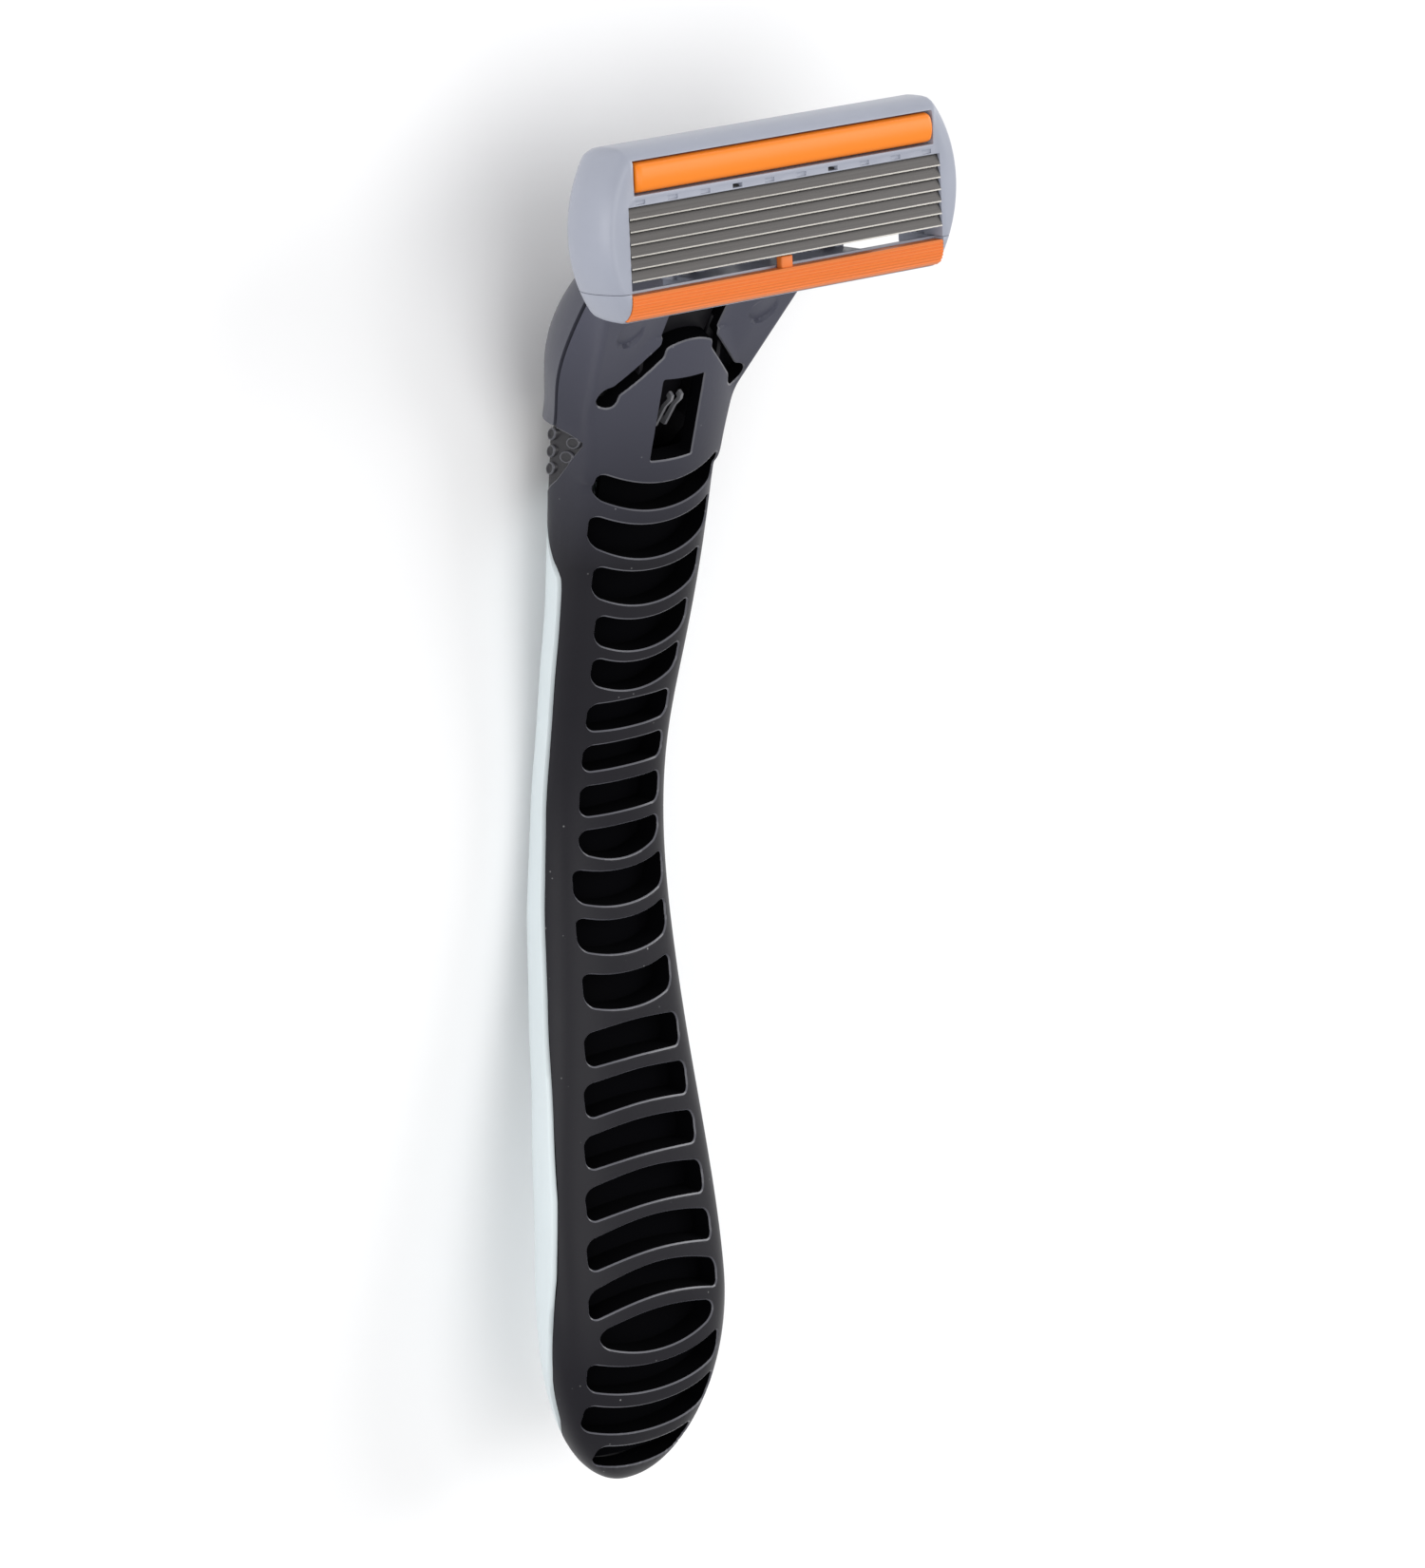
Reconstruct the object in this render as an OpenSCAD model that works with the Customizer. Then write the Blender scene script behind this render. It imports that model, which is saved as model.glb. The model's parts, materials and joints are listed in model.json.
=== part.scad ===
// Cartridge razor lying on its back, blades up. Millimetres.
// Origin: centre of the flat rest land on the back of the grip. +Y runs to the head, +Z is up.

/* [Head] */
// Width of the cartridge over its end caps
head_w = 42; // [40:0.5:44]
// Height of the cartridge from guard edge to cap edge
head_h = 15.2; // [14.5:0.1:16]
// Depth of the cartridge from its front face to its back face
head_d = 5.8; // [5.6:0.1:6]
// Distance of the cartridge centre ahead of the rest land
head_y = 60; // [59:0.5:61]
// Height of the cartridge front face above the table
head_z = 25; // [24.5:0.1:25.5]
// Angle that the blade face tips towards the head end
head_tilt = 8; // [7:0.5:9]

/* [Blades] */
// Distance between blade edges
blade_pitch = 1.07; // [1:0.01:1.1]
// Thickness of the blade strip
blade_t = 0.12; // [0.1:0.01:0.15]
// Angle of the sharpened strip to the shaving plane
blade_angle = 22; // [20:1:24]

/* [Neck] */
// Rise of the neck towards the head, from the table
neck_rise = 26; // [25:0.5:27]
// Half width of the fork at the pivot axis
fork_half = 13.7; // [13.2:0.1:14]
// Radius of the pivot journals on the fork tips
journal_r = 1.2; // [1:0.05:1.3]
// Radial clearance of the journals in the snap-in bearings
journal_gap = 0.06; // [0.03:0.01:0.1]
// Half width of the window in the tongue
window_half = 2.5; // [2:0.1:3]
// Travel of the release button
button_travel = 1.8; // [1.2:0.1:1.8]

/* [Grip] */
// Roundness of the grip section: 2 is an ellipse, more is squarer
grip_power = 2.4; // [2:0.1:3]
// Where the tail starts to round off
tail_start = -45; // [-46:0.5:-44]
// Far end of the tail
tail_end = -64; // [-66:0.5:-62]
// Front end of the pale back cover
spine_front = 29; // [28:0.5:30]
// Rear end of the pale back cover
spine_rear = -58; // [-59:0.5:-57]
// Depth of the grip pockets
pocket_depth = 3; // [2:0.1:3.2]
// Distance between grip pockets
pocket_pitch = 4.35; // [4.3:0.01:4.4]

/* [Hidden] */
$fn = 48;
eps = 0.01;
fit = 0.05;

grey = [0.66, 0.67, 0.72];
dark = [0.24, 0.24, 0.26];
black = [0.10, 0.10, 0.11];
orange = [0.98, 0.55, 0.18];
pale = [0.83, 0.86, 0.87];
steel = [0.62, 0.61, 0.60];

// Cartridge sizes, in its own frame: X across, Y to the cap, Z out of the blade face
end_arc_r = 12.3;
cap_edge = head_h / 2;
window_x = 18;
parting_y = -4.8;
strip_y = [3.7, 6.3];
strip_x = 17;
first_edge = 1.5;
strip_len = 1.45;
pivot_c = [-1.5, -8.8];
guard_grooves = [-6.5, -6, -5.5];
lug_in = 6.9;
lug_out = 11.9;
lug_wall = 0.95;
lug_r = 2.4;
eye_r = 2.2;
eye_x = [8.05, 10.75];
cam_half = 1.3;
post_t = 1;
post_x = [-17, -11.4, -7.4, 0, 7.4, 11.4, 17];

neck_to_head = neck_rise + head_tilt;

// Pivot axis in the frame of the whole razor
pivot_y = head_y + pivot_c[0] * cos(head_tilt) + pivot_c[1] * sin(head_tilt);
pivot_z = head_z - pivot_c[0] * sin(head_tilt) + pivot_c[1] * cos(head_tilt);

// Neck levels, in the neck's frame: X across, Y along the neck to the pivot, Z forward
plate_top = 2.25;
plate_under = 0.95;
seam = 0.2;
fork_taper = 0.25;
fork_front = -2.9;
slit_in = 3.4;
slit_top = -12.6;
slit_end = [7.4, -17.3];
slit_w = 1.2;
tongue_r = 16;
tongue_slope = 16.4;
tongue_at = [-15.35, 3.45];
window_u = [-23.2, -15.4];
hollow_half = 6.85;
hollow_end = -25.6;
slide_low = -0.4;
slide_top = 0.8;
slide_half = 3;
prong_in = 1.9;
push_r = 2.95;
bore_m = -1.5;
plunger_r = 0.9;
plunger_tip = 1.45;
plunger_back = -11.3;
heel_at = [2.5, -1];
heel_r = 0.8;
heel_y = heel_at[0] * cos(neck_to_head) - heel_at[1] * sin(neck_to_head);
heel_z = heel_at[0] * sin(neck_to_head) + heel_at[1] * cos(neck_to_head);
block_u = [-16.5, -8.5];
seat_u = -23.2;
button_top_u = -24.15;
button_room = 0.3;
wire_r = 0.2;

// Stations of the grip: place along Y, half width, front height, back height
grip = [
    [ 36, 8.4, 11.7, 0.6],
    [ 24, 8.1, 10.0, 1.6],
    [ 14, 7.5,  8.6, 1.0],
    [  6, 7.0,  7.5, 0.1],
    [  0, 6.9,  7.4, -0.2],
    [ -6, 7.1,  7.9, -0.1],
    [-14, 7.6,  9.3, 0.8],
    [-24, 8.5, 11.3, 2.9],
    [-36, 9.8, 13.8, 5.6],
    [-46, 10.4, 15.9, 7.1],
    [-66, 11.0, 16.6, 7.9]
];
arc_steps = 12;
between = concat([for (y = [25 : -4 : -43]) y], [-46, -49, -52, -54.5, -56]);
peg_y = [20, -20, -45];

// Bow of each pocket's upper and lower edge: positive dips towards the tail at its middle
pocket_first = 30.6;
bow_top = [1.7, 1.6, 1.3, 1.1, 1.1, 0, 0, 0, 0, 0.8, 0.8, 0.7,
    -0.5, -0.7, -0.8, -1.0, -1.1, -1.4, -1.9, 1.2, 1.1, 0.9];
bow_low = [1.8, 2.0, 1.6, 1.4, 1.2, 0, 0, 0, 1.1, 0.9, 0.9, 0.8,
    -0.4, -0.7, -0.7, -0.8, -1.0, -1.3, 2.0, 1.2, 1.1, 0.8];
pocket_h = 3.1;
pocket_margin = 2.3;

// ---------- Helpers ----------

module at_head() {
    translate([0, head_y, head_z]) rotate([-head_tilt, 0, 0]) children();
}

module at_neck() {
    translate([0, pivot_y, pivot_z]) rotate([neck_rise, 0, 0]) children();
}

// Extrudes a side outline, drawn as [y, z], across X from x0 to x1
module across(x0, x1) {
    translate([x0, 0, 0]) rotate([90, 0, 90]) linear_extrude(x1 - x0) children();
}

module both_sides() {
    children();
    mirror([1, 0, 0]) children();
}

// A bar along Y from u0 to u1, centred on the neck height m
module rod(r, u0, u1, m) {
    translate([0, u0, m]) rotate([-90, 0, 0]) cylinder(r = r, h = u1 - u0);
}

// Smooth value of column c at y, through the grip stations
function span(y, i = 0) = (i >= len(grip) - 2 || y > grip[i + 1][0]) ? i : span(y, i + 1);
function slope(i, c) =
    let (a = max(i - 1, 0), b = min(i + 1, len(grip) - 1))
    (grip[b][c] - grip[a][c]) / (grip[b][0] - grip[a][0]);
function at(y, c) =
    let (i = span(y), p = grip[i], q = grip[i + 1], w = q[0] - p[0], t = (y - p[0]) / w)
    (2 * t * t * t - 3 * t * t + 1) * p[c] + (t * t * t - 2 * t * t + t) * w * slope(i, c)
    + (3 * t * t - 2 * t * t * t) * q[c] + (t * t * t - t * t) * w * slope(i + 1, c);

function tail_scale(y) =
    let (t = min(max((tail_start - y) / (tail_start - tail_end), 0), 0.999)) sqrt(1 - t * t);
function half_w(y) = at(y, 1) * tail_scale(y);
function half_t(y) = (at(y, 2) - at(y, 3)) / 2 * tail_scale(y);
function mid_z(y) = (at(y, 2) + at(y, 3)) / 2;
function power(v) = sign(v) * pow(abs(v), 2 / grip_power);

// Half section of the grip at y: side is 1 for the front half, -1 for the back half
function half_ring(y, side) = [
    for (i = [0 : arc_steps])
        let (a = 90 + side * (180 * i / arc_steps - 90))
        [half_w(y) * power(cos(a)), y, mid_z(y) + side * half_t(y) * power(sin(a))]
];

// Whole section of the grip at y
function full_ring(y) = concat(half_ring(y, 1), [for (i = [1 : arc_steps - 1]) half_ring(y, -1)[i]]);

// Solid through closed rings of the same number of points
module skin(rings) {
    n = len(rings[0]);
    last = len(rings) - 1;
    pts = [for (r = rings) for (p = r) p];
    walls = [
        for (k = [0 : last - 1]) for (i = [0 : n - 1])
            let (j = (i + 1) % n)
            [k * n + i, (k + 1) * n + i, (k + 1) * n + j, k * n + j]
    ];
    ends = [[for (i = [0 : n - 1]) i], [for (i = [n - 1 : -1 : 0]) last * n + i]];
    polyhedron(points = pts, faces = concat(walls, ends), convexity = 6);
}

function steps(a, b, n) = [for (i = [0 : n]) a + (b - a) * i / n];
function tail_steps(a, b, n) = [for (i = [1 : n]) a + (b - a) * sin(90 * i / n)];

// ---------- Cartridge ----------

module head_outline() {
    intersection() {
        square([head_w, head_h], center = true);
        union() {
            both_sides() translate([head_w / 2 - end_arc_r, 0]) circle(r = end_arc_r);
            square([head_w - 2 * end_arc_r, head_h], center = true);
        }
    }
}

module head_side() {
    e = cap_edge;
    polygon([
        [-e, -1.3], [-e + 0.5, -0.5], [-e + 1.2, 0], [1.5, 0.15], [e - 1.6, 0.1], [e - 0.6, -0.5],
        [e, -1.7], [e - 0.2, -4.3], [e - 1.2, -head_d + 0.3], [e - 2, -head_d],
        [-e + 1.4, -head_d], [-e + 0.4, -4.6]
    ]);
}

// Bulge of the end caps, seen from the guard side
module head_ends() {
    w = head_w / 2;
    polygon([
        [-w + 0.9, 1], [w - 0.9, 1], [w - 0.8, -0.2], [w - 0.2, -1.5], [w, -2.8], [w - 0.1, -4.2],
        [w - 0.6, -head_d], [-w + 0.6, -head_d], [-w + 0.1, -4.2], [-w, -2.8], [-w + 0.2, -1.5],
        [-w + 0.8, -0.2]
    ]);
}

module head_block() {
    intersection() {
        translate([0, 0, -8]) linear_extrude(10) head_outline();
        across(-head_w / 2, head_w / 2) head_side();
        translate([0, head_h, 0]) rotate([90, 0, 0]) linear_extrude(2 * head_h) head_ends();
    }
}

module cartridge_cover() {
    tab_x = steps(-15.6, 15.6, 9);
    color(grey) at_head() difference() {
        head_block();
        // everything on the guard side of the parting line
        translate([-30, -20, -10]) cube([60, 20 + parting_y, 20]);
        // the space for the platform behind
        translate([-30, -20, -10]) cube([60, 26.6, 10 - 3.9]);
        // blade window
        translate([-window_x, -10, -10]) cube([2 * window_x, 12.6, 20]);
        for (x = tab_x) translate([x, 2.5, -1]) cube([1.3, 0.5, 3]);
        // undercut for the rear edge of the first blade
        translate([-window_x, 2, -3]) cube([2 * window_x, 1.2, 2.75]);
        // slots for the blade ends
        translate([-window_x - 0.6, -4.3, -3.91]) cube([2 * window_x + 1.2, 7.5, 3.2]);
        // pocket for the strip
        translate([-strip_x - 0.3, strip_y[0] - 0.2, -1.4])
            cube([2 * strip_x + 0.6, strip_y[1] - strip_y[0] + 0.4, 3]);
    }
}

module snap_lug(x0, x1) {
    r = journal_r + journal_gap;
    across(x0, x1) translate(pivot_c) difference() {
        union() {
            circle(r = lug_r);
            translate([-lug_r, 0]) square([2 * lug_r, -head_d + 0.2 - pivot_c[1]]);
        }
        circle(r = r);
        // mouth, a little narrower than the journal
        translate([-r * 0.78, -4]) square([r * 1.56, 4]);
    }
}

module cartridge_base() {
    color(grey) at_head() {
        difference() {
            union() {
                // guard bar with the lower end corners
                intersection() {
                    head_block();
                    translate([-30, -20, -10]) cube([60, 20 + parting_y - fit, 20]);
                }
                // platform behind the blades
                intersection() {
                    head_block();
                    translate([-30, -20, -10]) cube([60, 26.5, 10 - 3.95]);
                }
            }
            // wash-through openings between the cross posts
            both_sides() {
                translate([12.4, -4.9, -10]) cube([window_x - 12.8, 5.4, 20]);
                translate([lug_in + lug_wall, -4.9, -10])
                    cube([lug_out - lug_in - 2 * lug_wall, 4.2, 20]);
                translate([cam_half, -4.9, -10]) cube([lug_in - cam_half, 5.4, 20]);
                translate([1.8, 1.6, -10]) cube([5.2, 2.6, 20]);
                translate([12.4, 1.6, -10]) cube([5.2, 2.6, 20]);
            }
            // seat for the guard strip
            translate([-window_x - fit, -7.35, -1.2]) cube([2 * window_x + 2 * fit, 2.35, 5]);
            translate([-0.7, -5.1, -1.2]) cube([1.4, 1.2, 5]);
        }
        both_sides() {
            snap_lug(lug_in, lug_in + lug_wall);
            snap_lug(lug_out - lug_wall, lug_out);
        }
        // comb posts that the blade legs stand on
        for (x = post_x) translate([x - post_t / 2, -4.2, -4.2]) cube([post_t, 7, 1.9]);
        heel();
        both_sides() push_pad();
    }
}

// Round nose behind the platform, which the spring plunger presses on
module heel() {
    across(-cam_half, cam_half) translate(pivot_c) rotate(neck_to_head) {
        translate(heel_at) circle(r = heel_r);
        rotate(-neck_to_head) translate([heel_y - heel_r, heel_z]) square([2 * heel_r, 3.2 - heel_z]);
    }
}

// Pad that the ejector pushes: its back is an arc about the pivot, so it fits at every swing
module push_pad() {
    across(prong_in - 0.1, slide_half + 0.1) translate(pivot_c) difference() {
        translate([0.4, 0.9]) square([3, 2.3]);
        circle(r = push_r);
    }
}

module lubricating_strip() {
    h = strip_y[1] - strip_y[0];
    mid = (strip_y[0] + strip_y[1]) / 2;
    crown = 3.2;
    color(orange) at_head() intersection() {
        translate([-strip_x, strip_y[0], -1.38]) cube([2 * strip_x, h, 3]);
        across(-strip_x, strip_x) translate([mid, 0.42 - crown]) circle(r = crown, $fn = 96);
    }
}

module guard_strip() {
    color(orange) at_head() difference() {
        union() {
            across(-window_x, window_x) polygon([
                [-7.3, -1.15], [-7.3, -0.75], [-6.9, -0.3], [-6.3, 0.05], [-5.05, 0.1], [-5.05, -1.15]
            ]);
            translate([-0.65, -5.1, -1.15]) cube([1.3, 1.15, 0.9]);
        }
        for (y = guard_grooves) translate([-window_x - 1, y, -0.15]) cube([2 * window_x + 2, 0.2, 1]);
    }
}

// One bent strip: the sharpened part lies at blade_angle, the leg stands straight back
// and reaches under the end caps
module blade(i) {
    y = first_edge - (i - 1) * blade_pitch;
    bend = [y + strip_len * cos(blade_angle), 0.06 - strip_len * sin(blade_angle)];
    color(steel) at_head() {
        across(-window_x + 0.1, window_x - 0.1) polygon([
            [y, 0.08], [y + 0.35, -0.01], [bend[0] + blade_t, bend[1]],
            [bend[0] + blade_t, bend[1] - 0.5], [bend[0], bend[1] - 0.5],
            [bend[0], bend[1] - blade_t / 2], [y + 0.3, -0.15]
        ]);
        across(-window_x - 0.4, window_x + 0.4) translate([bend[0], -2.25])
            square([blade_t, bend[1] - 0.3 + 2.25]);
    }
}

// ---------- Handle ----------

module fork_plan(inset = 0) {
    u0 = -26;
    polygon([
        [-(fork_half + fork_taper * fork_front) + inset, fork_front - inset],
        [fork_half + fork_taper * fork_front - inset, fork_front - inset],
        [fork_half + fork_taper * u0 - inset, u0], [-(fork_half + fork_taper * u0) + inset, u0]
    ]);
}

// Opening between the arms and the two slits that free them
module fork_opening() {
    polygon([
        [-slit_in - 0.3, 2], [slit_in + 0.3, 2], [slit_in, slit_top],
        [2.2, -12.2], [0, -11.9], [-2.2, -12.2], [-slit_in, slit_top]
    ]);
    both_sides() {
        polygon([
            [slit_in, slit_top + 0.9], [slit_end[0] + slit_w / 2, slit_end[1] + 0.2],
            [slit_end[0] - slit_w / 2, slit_end[1] - 0.1], [2.4, -12.3]
        ]);
        translate(slit_end) circle(r = 0.85);
    }
}

// Crowned top of the tongue: a round bar laid along its slope, lowered by drop
module tongue_bar(drop = 0) {
    translate([0, tongue_at[0], tongue_at[1]]) rotate([-tongue_slope, 0, 0])
        translate([0, 6, -tongue_r - drop]) rotate([90, 0, 0]) cylinder(r = tongue_r, h = 24, $fn = 96);
}

module neck_front() {
    difference() {
        union() {
            translate([0, 0, seam]) linear_extrude(plate_top - seam) fork_plan();
            intersection() {
                translate([0, 0, seam]) linear_extrude(9) fork_plan();
                translate([-20, -26, seam]) cube([40, 14, 9]);
                tongue_bar();
            }
        }
        // hollow under the plate and under the tongue
        difference() {
            translate([0, 0, -1]) linear_extrude(plate_under + 1) fork_plan(1.3);
            translate([-20, -40, -2]) cube([40, 15.6, 5]);
        }
        intersection() {
            translate([-5, -24.4, -1]) cube([10, 10.4, 8]);
            tongue_bar(1.5);
        }
        translate([0, 0, -5]) linear_extrude(20) fork_opening();
        translate([-window_half, window_u[0], -1])
            cube([2 * window_half, window_u[1] - window_u[0], 12]);
        both_sides() translate([7.7, -10.1, plate_top - 0.15]) cylinder(r = 1.4, h = 1);
    }
}

module fork_tip() {
    across(eye_x[0], eye_x[1]) {
        circle(r = eye_r);
        polygon([[0, -1.6], [0, 2.2], [fork_front - 1, plate_top], [fork_front - 1, 0.3], [-2.6, -0.9]]);
    }
    across(lug_in + 0.3, lug_out - 0.3) circle(r = journal_r);
}

// Middle line, width and bow of pocket k, and its outline seen from above
function pocket_y(k) = pocket_first - k * pocket_pitch;
function pocket_a(k) = half_w(pocket_y(k)) - pocket_margin + (k < 2 ? 0.7 : 0);
function edge_y(k, s, x) =
    let (b = s > 0 ? bow_top[k] : bow_low[k], t = x / pocket_a(k))
    pocket_y(k) + s * pocket_h / 2 + b * t * t;

module pocket(k) {
    a = pocket_a(k);
    c = 0.6;
    xs = steps(-a + c, a - c, 6);
    up = [for (x = xs) [x, edge_y(k, 1, x)]];
    low = [for (i = [6 : -1 : 0]) [xs[i], min(edge_y(k, -1, xs[i]), edge_y(k, 1, xs[i]) - 0.5)]];
    mid_end = (edge_y(k, 1, a) + edge_y(k, -1, a)) / 2;
    gap = max((edge_y(k, 1, a) - edge_y(k, -1, a)) / 2 - c, 0.2);
    right = [[a, mid_end + gap], [a, mid_end - gap]];
    left = [[-a, mid_end - gap], [-a, mid_end + gap]];
    floor_z = at(pocket_y(k), 2) - pocket_depth;
    translate([0, 0, floor_z]) linear_extrude(12) polygon(concat(up, right, low, left));
}

module handle_frame() {
    color(dark) {
        difference() {
            union() {
                skin([for (y = [34, spine_front + fit]) full_ring(y)]);
                skin([
                    for (y = concat(spine_front + fit, between, spine_rear - fit)) half_ring(y, 1)
                ]);
                skin([
                    for (y = concat(spine_rear - fit, tail_steps(spine_rear - fit, tail_end, 4)))
                        full_ring(y)
                ]);
                at_neck() neck_front();
            }
            for (k = [0 : len(bow_top) - 1]) pocket(k);
            button_space();
        }
        at_neck() both_sides() fork_tip();
        for (y = peg_y) translate([0, y, mid_z(y) - 2]) cylinder(r = 1.2, h = 2.5);
    }
}

module back_spine() {
    color(pale) difference() {
        skin([for (y = concat(spine_front, between, spine_rear)) half_ring(y, -1)]);
        translate([-20, -80, -5]) cube([40, 160, 5]);
        for (y = peg_y) translate([0, y, mid_z(y) - 2.2]) cylinder(r = 1.2 + fit, h = 5);
    }
}

// Side outline of the thumb button, in the frame of the whole razor
module button_side() {
    polygon([
        [30.2, 1.0], [35.1, 0.9], [37.0, 1.8], [37.1, 2.8], [35.8, 8.4], [31.9, 5.2], [30.2, 3.0],
        [29.5, 1.8]
    ]);
}

// Room for the button in the frame: its seat, and the way that it slides
module button_space() {
    across(-12, 12) polygon([
        [29.2, -3], [37.6, -3], [37.6, 7.0], [36.2, 8.9], [35.8, 8.9], [31.7, 5.6], [29.9, 3.2],
        [29.2, 1.9]
    ]);
    at_neck() translate([-hollow_half, hollow_end, -9]) cube([2 * hollow_half, 13, 9 + plate_under]);
    at_neck() translate([-hollow_half, hollow_end, -9]) cube([2 * hollow_half, 5.4, 11.4]);
}

// Rear shell across the neck: place along it, half width, depth, and wall at the rim
shell = [
    [-3.6, 11.9, 3.9, 1.4], [-7, 12.4, 4.4, 1.8], [-11, 12.6, 5.4, 2.4], [-16, 12.0, 6.1, 2.6],
    [-21, 10.2, 5.7, 1.9], [-27, 8.6, 5.3, 1.3]
];
shell_wall = 1.1;

function shell_ring(u, half, depth) = [
    for (i = [0 : 14])
        let (a = 180 - 180 * i / 14)
        [half * power(cos(a)), u, seam - fit - depth * power(sin(a))]
];

module rear_neck_shell() {
    color(dark) difference() {
        at_neck() difference() {
            skin([for (s = shell) shell_ring(s[0], s[1], s[2])]);
            translate([0, 0, eps])
                skin([for (s = shell) shell_ring(s[0] * 1.02 + 0.1, s[1] - s[3], s[2] - shell_wall)]);
        }
        translate([-20, 10, -10]) cube([40, 27.5, 40]);
        // room that the pressed button slides into
        at_neck() translate([0, button_top_u + button_travel + button_room, -4.65])
            rotate([90, 0, 0]) linear_extrude(8) button_section(button_room);
    }
}

// Block under the plate: it carries the plunger, and the button's spring bears on its back
module guide_block() {
    color(black) at_neck() difference() {
        union() {
            translate([-3, block_u[0], -2.9]) cube([6, block_u[1] - block_u[0], slide_low - 0.15 + 2.9]);
            translate([-4.7, -15.5, -2.9]) cube([9.4, 4.5, slide_low - 0.15 + 2.9]);
            both_sides() translate([slide_half + 0.1, -15.5, -2.9]) cube([1.6, 4.5, plate_under + 2.9]);
        }
        rod(plunger_r + fit, block_u[0] + 1.2, block_u[1] + 1, bore_m);
    }
}

// ---------- Moving pieces in the neck ----------

// Rounded cross-section of the button, larger by grow on every side
module button_section(grow = 0) {
    w = 6.7 + grow;
    r = 3 + grow;
    translate([-w, r]) square([2 * w, 9]);
    translate([-w + r, 0]) square([2 * (w - r), 4]);
    both_sides() translate([w - r, r]) circle(r = r);
}

module release_button() {
    color(black) {
        difference() {
            intersection() {
                across(-8, 8) button_side();
                translate([0, 40, 0.8]) rotate([90, 0, 0]) linear_extrude(14) button_section();
                at_neck() translate([0, -18, -4.35]) rotate([90, 0, 0])
                    linear_extrude(20) button_section();
            }
            // hollow inside, open to the neck
            across(-5.3, 5.3) polygon([[31.2, 2.4], [40, 2.9], [40, 12], [34, 7.8]]);
        }
        // carrier: the spring bears on its front, the slide lies on its top
        across(-2.2, 2.2) polygon([
            [33.8, 1.5], [37.0, 1.95], neck_point(seat_u, -3.3), neck_point(seat_u, slide_low),
            neck_point(seat_u - 3, slide_low), [33.6, 2.0]
        ]);
        at_neck() translate([0, seat_u - 1.5, slide_low - 0.5])
            cylinder(r = 0.9, h = slide_top - slide_low + 0.5);
    }
}

// [y, z] in the frame of the whole razor of a point on the neck's middle plane
function neck_point(u, m) = [
    pivot_y + u * cos(neck_rise) - m * sin(neck_rise),
    pivot_z + u * sin(neck_rise) + m * cos(neck_rise)
];

module ejector_slide() {
    t = slide_top - slide_low;
    rear = seat_u - 3;
    color(black) at_neck() difference() {
        union() {
            translate([-slide_half, rear, slide_low]) cube([2 * slide_half, -5 - rear, t]);
            both_sides() translate([prong_in, -6, slide_low]) cube([slide_half - prong_in, 6.2, t]);
            for (x = [-0.9, 0.5]) translate([x, -21, slide_low]) cube([0.4, 5, t + 0.6]);
        }
        translate([0, seat_u - 1.5, -3]) cylinder(r = 0.9 + fit, h = 6);
    }
}

// Helix of wire along the neck from u0 to u1, outer radius r, n turns
module coil(r, u0, u1, n, m) {
    sides = 6;
    turn = 14;
    len = u1 - u0 - 2 * wire_r;
    rings = [
        for (k = [0 : n * turn])
            let (a = 360 * k / turn)
            [
                for (i = [0 : sides - 1])
                    let (b = 360 * i / sides, q = r - wire_r + wire_r * cos(b))
                    [q * cos(a), u0 + wire_r + len * k / (n * turn) + wire_r * sin(b), m + q * sin(a)]
            ]
    ];
    skin(rings);
}

module button_spring() {
    color(steel) at_neck() coil(1.1, seat_u, block_u[0], 6, -1.9);
}

module pivot_plunger() {
    color(black) at_neck() rod(plunger_r, plunger_back, plunger_tip, bore_m);
}

module plunger_spring() {
    color(steel) at_neck() coil(plunger_r - 0.05, block_u[0] + 1.2, plunger_back, 4, bore_m);
}

// ---------- Nodes ----------

cartridge_cover();
cartridge_base();
lubricating_strip();
guard_strip();
blade(1);  // blade_1
blade(2);  // blade_2
blade(3);  // blade_3
blade(4);  // blade_4
blade(5);  // blade_5
blade(6);  // blade_6
handle_frame();
rear_neck_shell();
back_spine();
guide_block();
release_button();
ejector_slide();
button_spring();
pivot_plunger();
plunger_spring();
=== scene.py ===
import json
import math

import bmesh
import bpy
import numpy as np
from mathutils import Matrix, Vector


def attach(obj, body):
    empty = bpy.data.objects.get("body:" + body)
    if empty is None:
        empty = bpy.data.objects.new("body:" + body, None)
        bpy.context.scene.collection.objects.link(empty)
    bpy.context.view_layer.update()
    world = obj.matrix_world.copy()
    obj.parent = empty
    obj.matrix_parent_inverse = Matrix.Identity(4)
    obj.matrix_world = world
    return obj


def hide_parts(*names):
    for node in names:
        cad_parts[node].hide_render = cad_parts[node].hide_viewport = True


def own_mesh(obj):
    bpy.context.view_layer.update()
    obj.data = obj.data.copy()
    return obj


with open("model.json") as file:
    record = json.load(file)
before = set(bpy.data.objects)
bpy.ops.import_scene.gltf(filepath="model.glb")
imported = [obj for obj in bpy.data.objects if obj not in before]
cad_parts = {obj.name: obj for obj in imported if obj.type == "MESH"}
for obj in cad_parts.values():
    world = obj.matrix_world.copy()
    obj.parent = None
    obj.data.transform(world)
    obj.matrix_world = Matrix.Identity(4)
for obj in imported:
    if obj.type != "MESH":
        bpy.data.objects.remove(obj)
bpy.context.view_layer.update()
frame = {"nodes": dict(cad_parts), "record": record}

# Sizes below are millimetres; every mesh is scaled to metres when it is made.
MM = 0.001
joints = {j["name"]: j for j in frame["record"]["behaviour"]["joints"]}
mounts = {m["name"]: m for m in frame["record"]["mounts"]}


# ---------------------------------------------------------------- frames

def rotation_x(angle):
    c, s = math.cos(angle), math.sin(angle)
    return np.array([[1, 0, 0], [0, c, -s], [0, s, c]])


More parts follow.
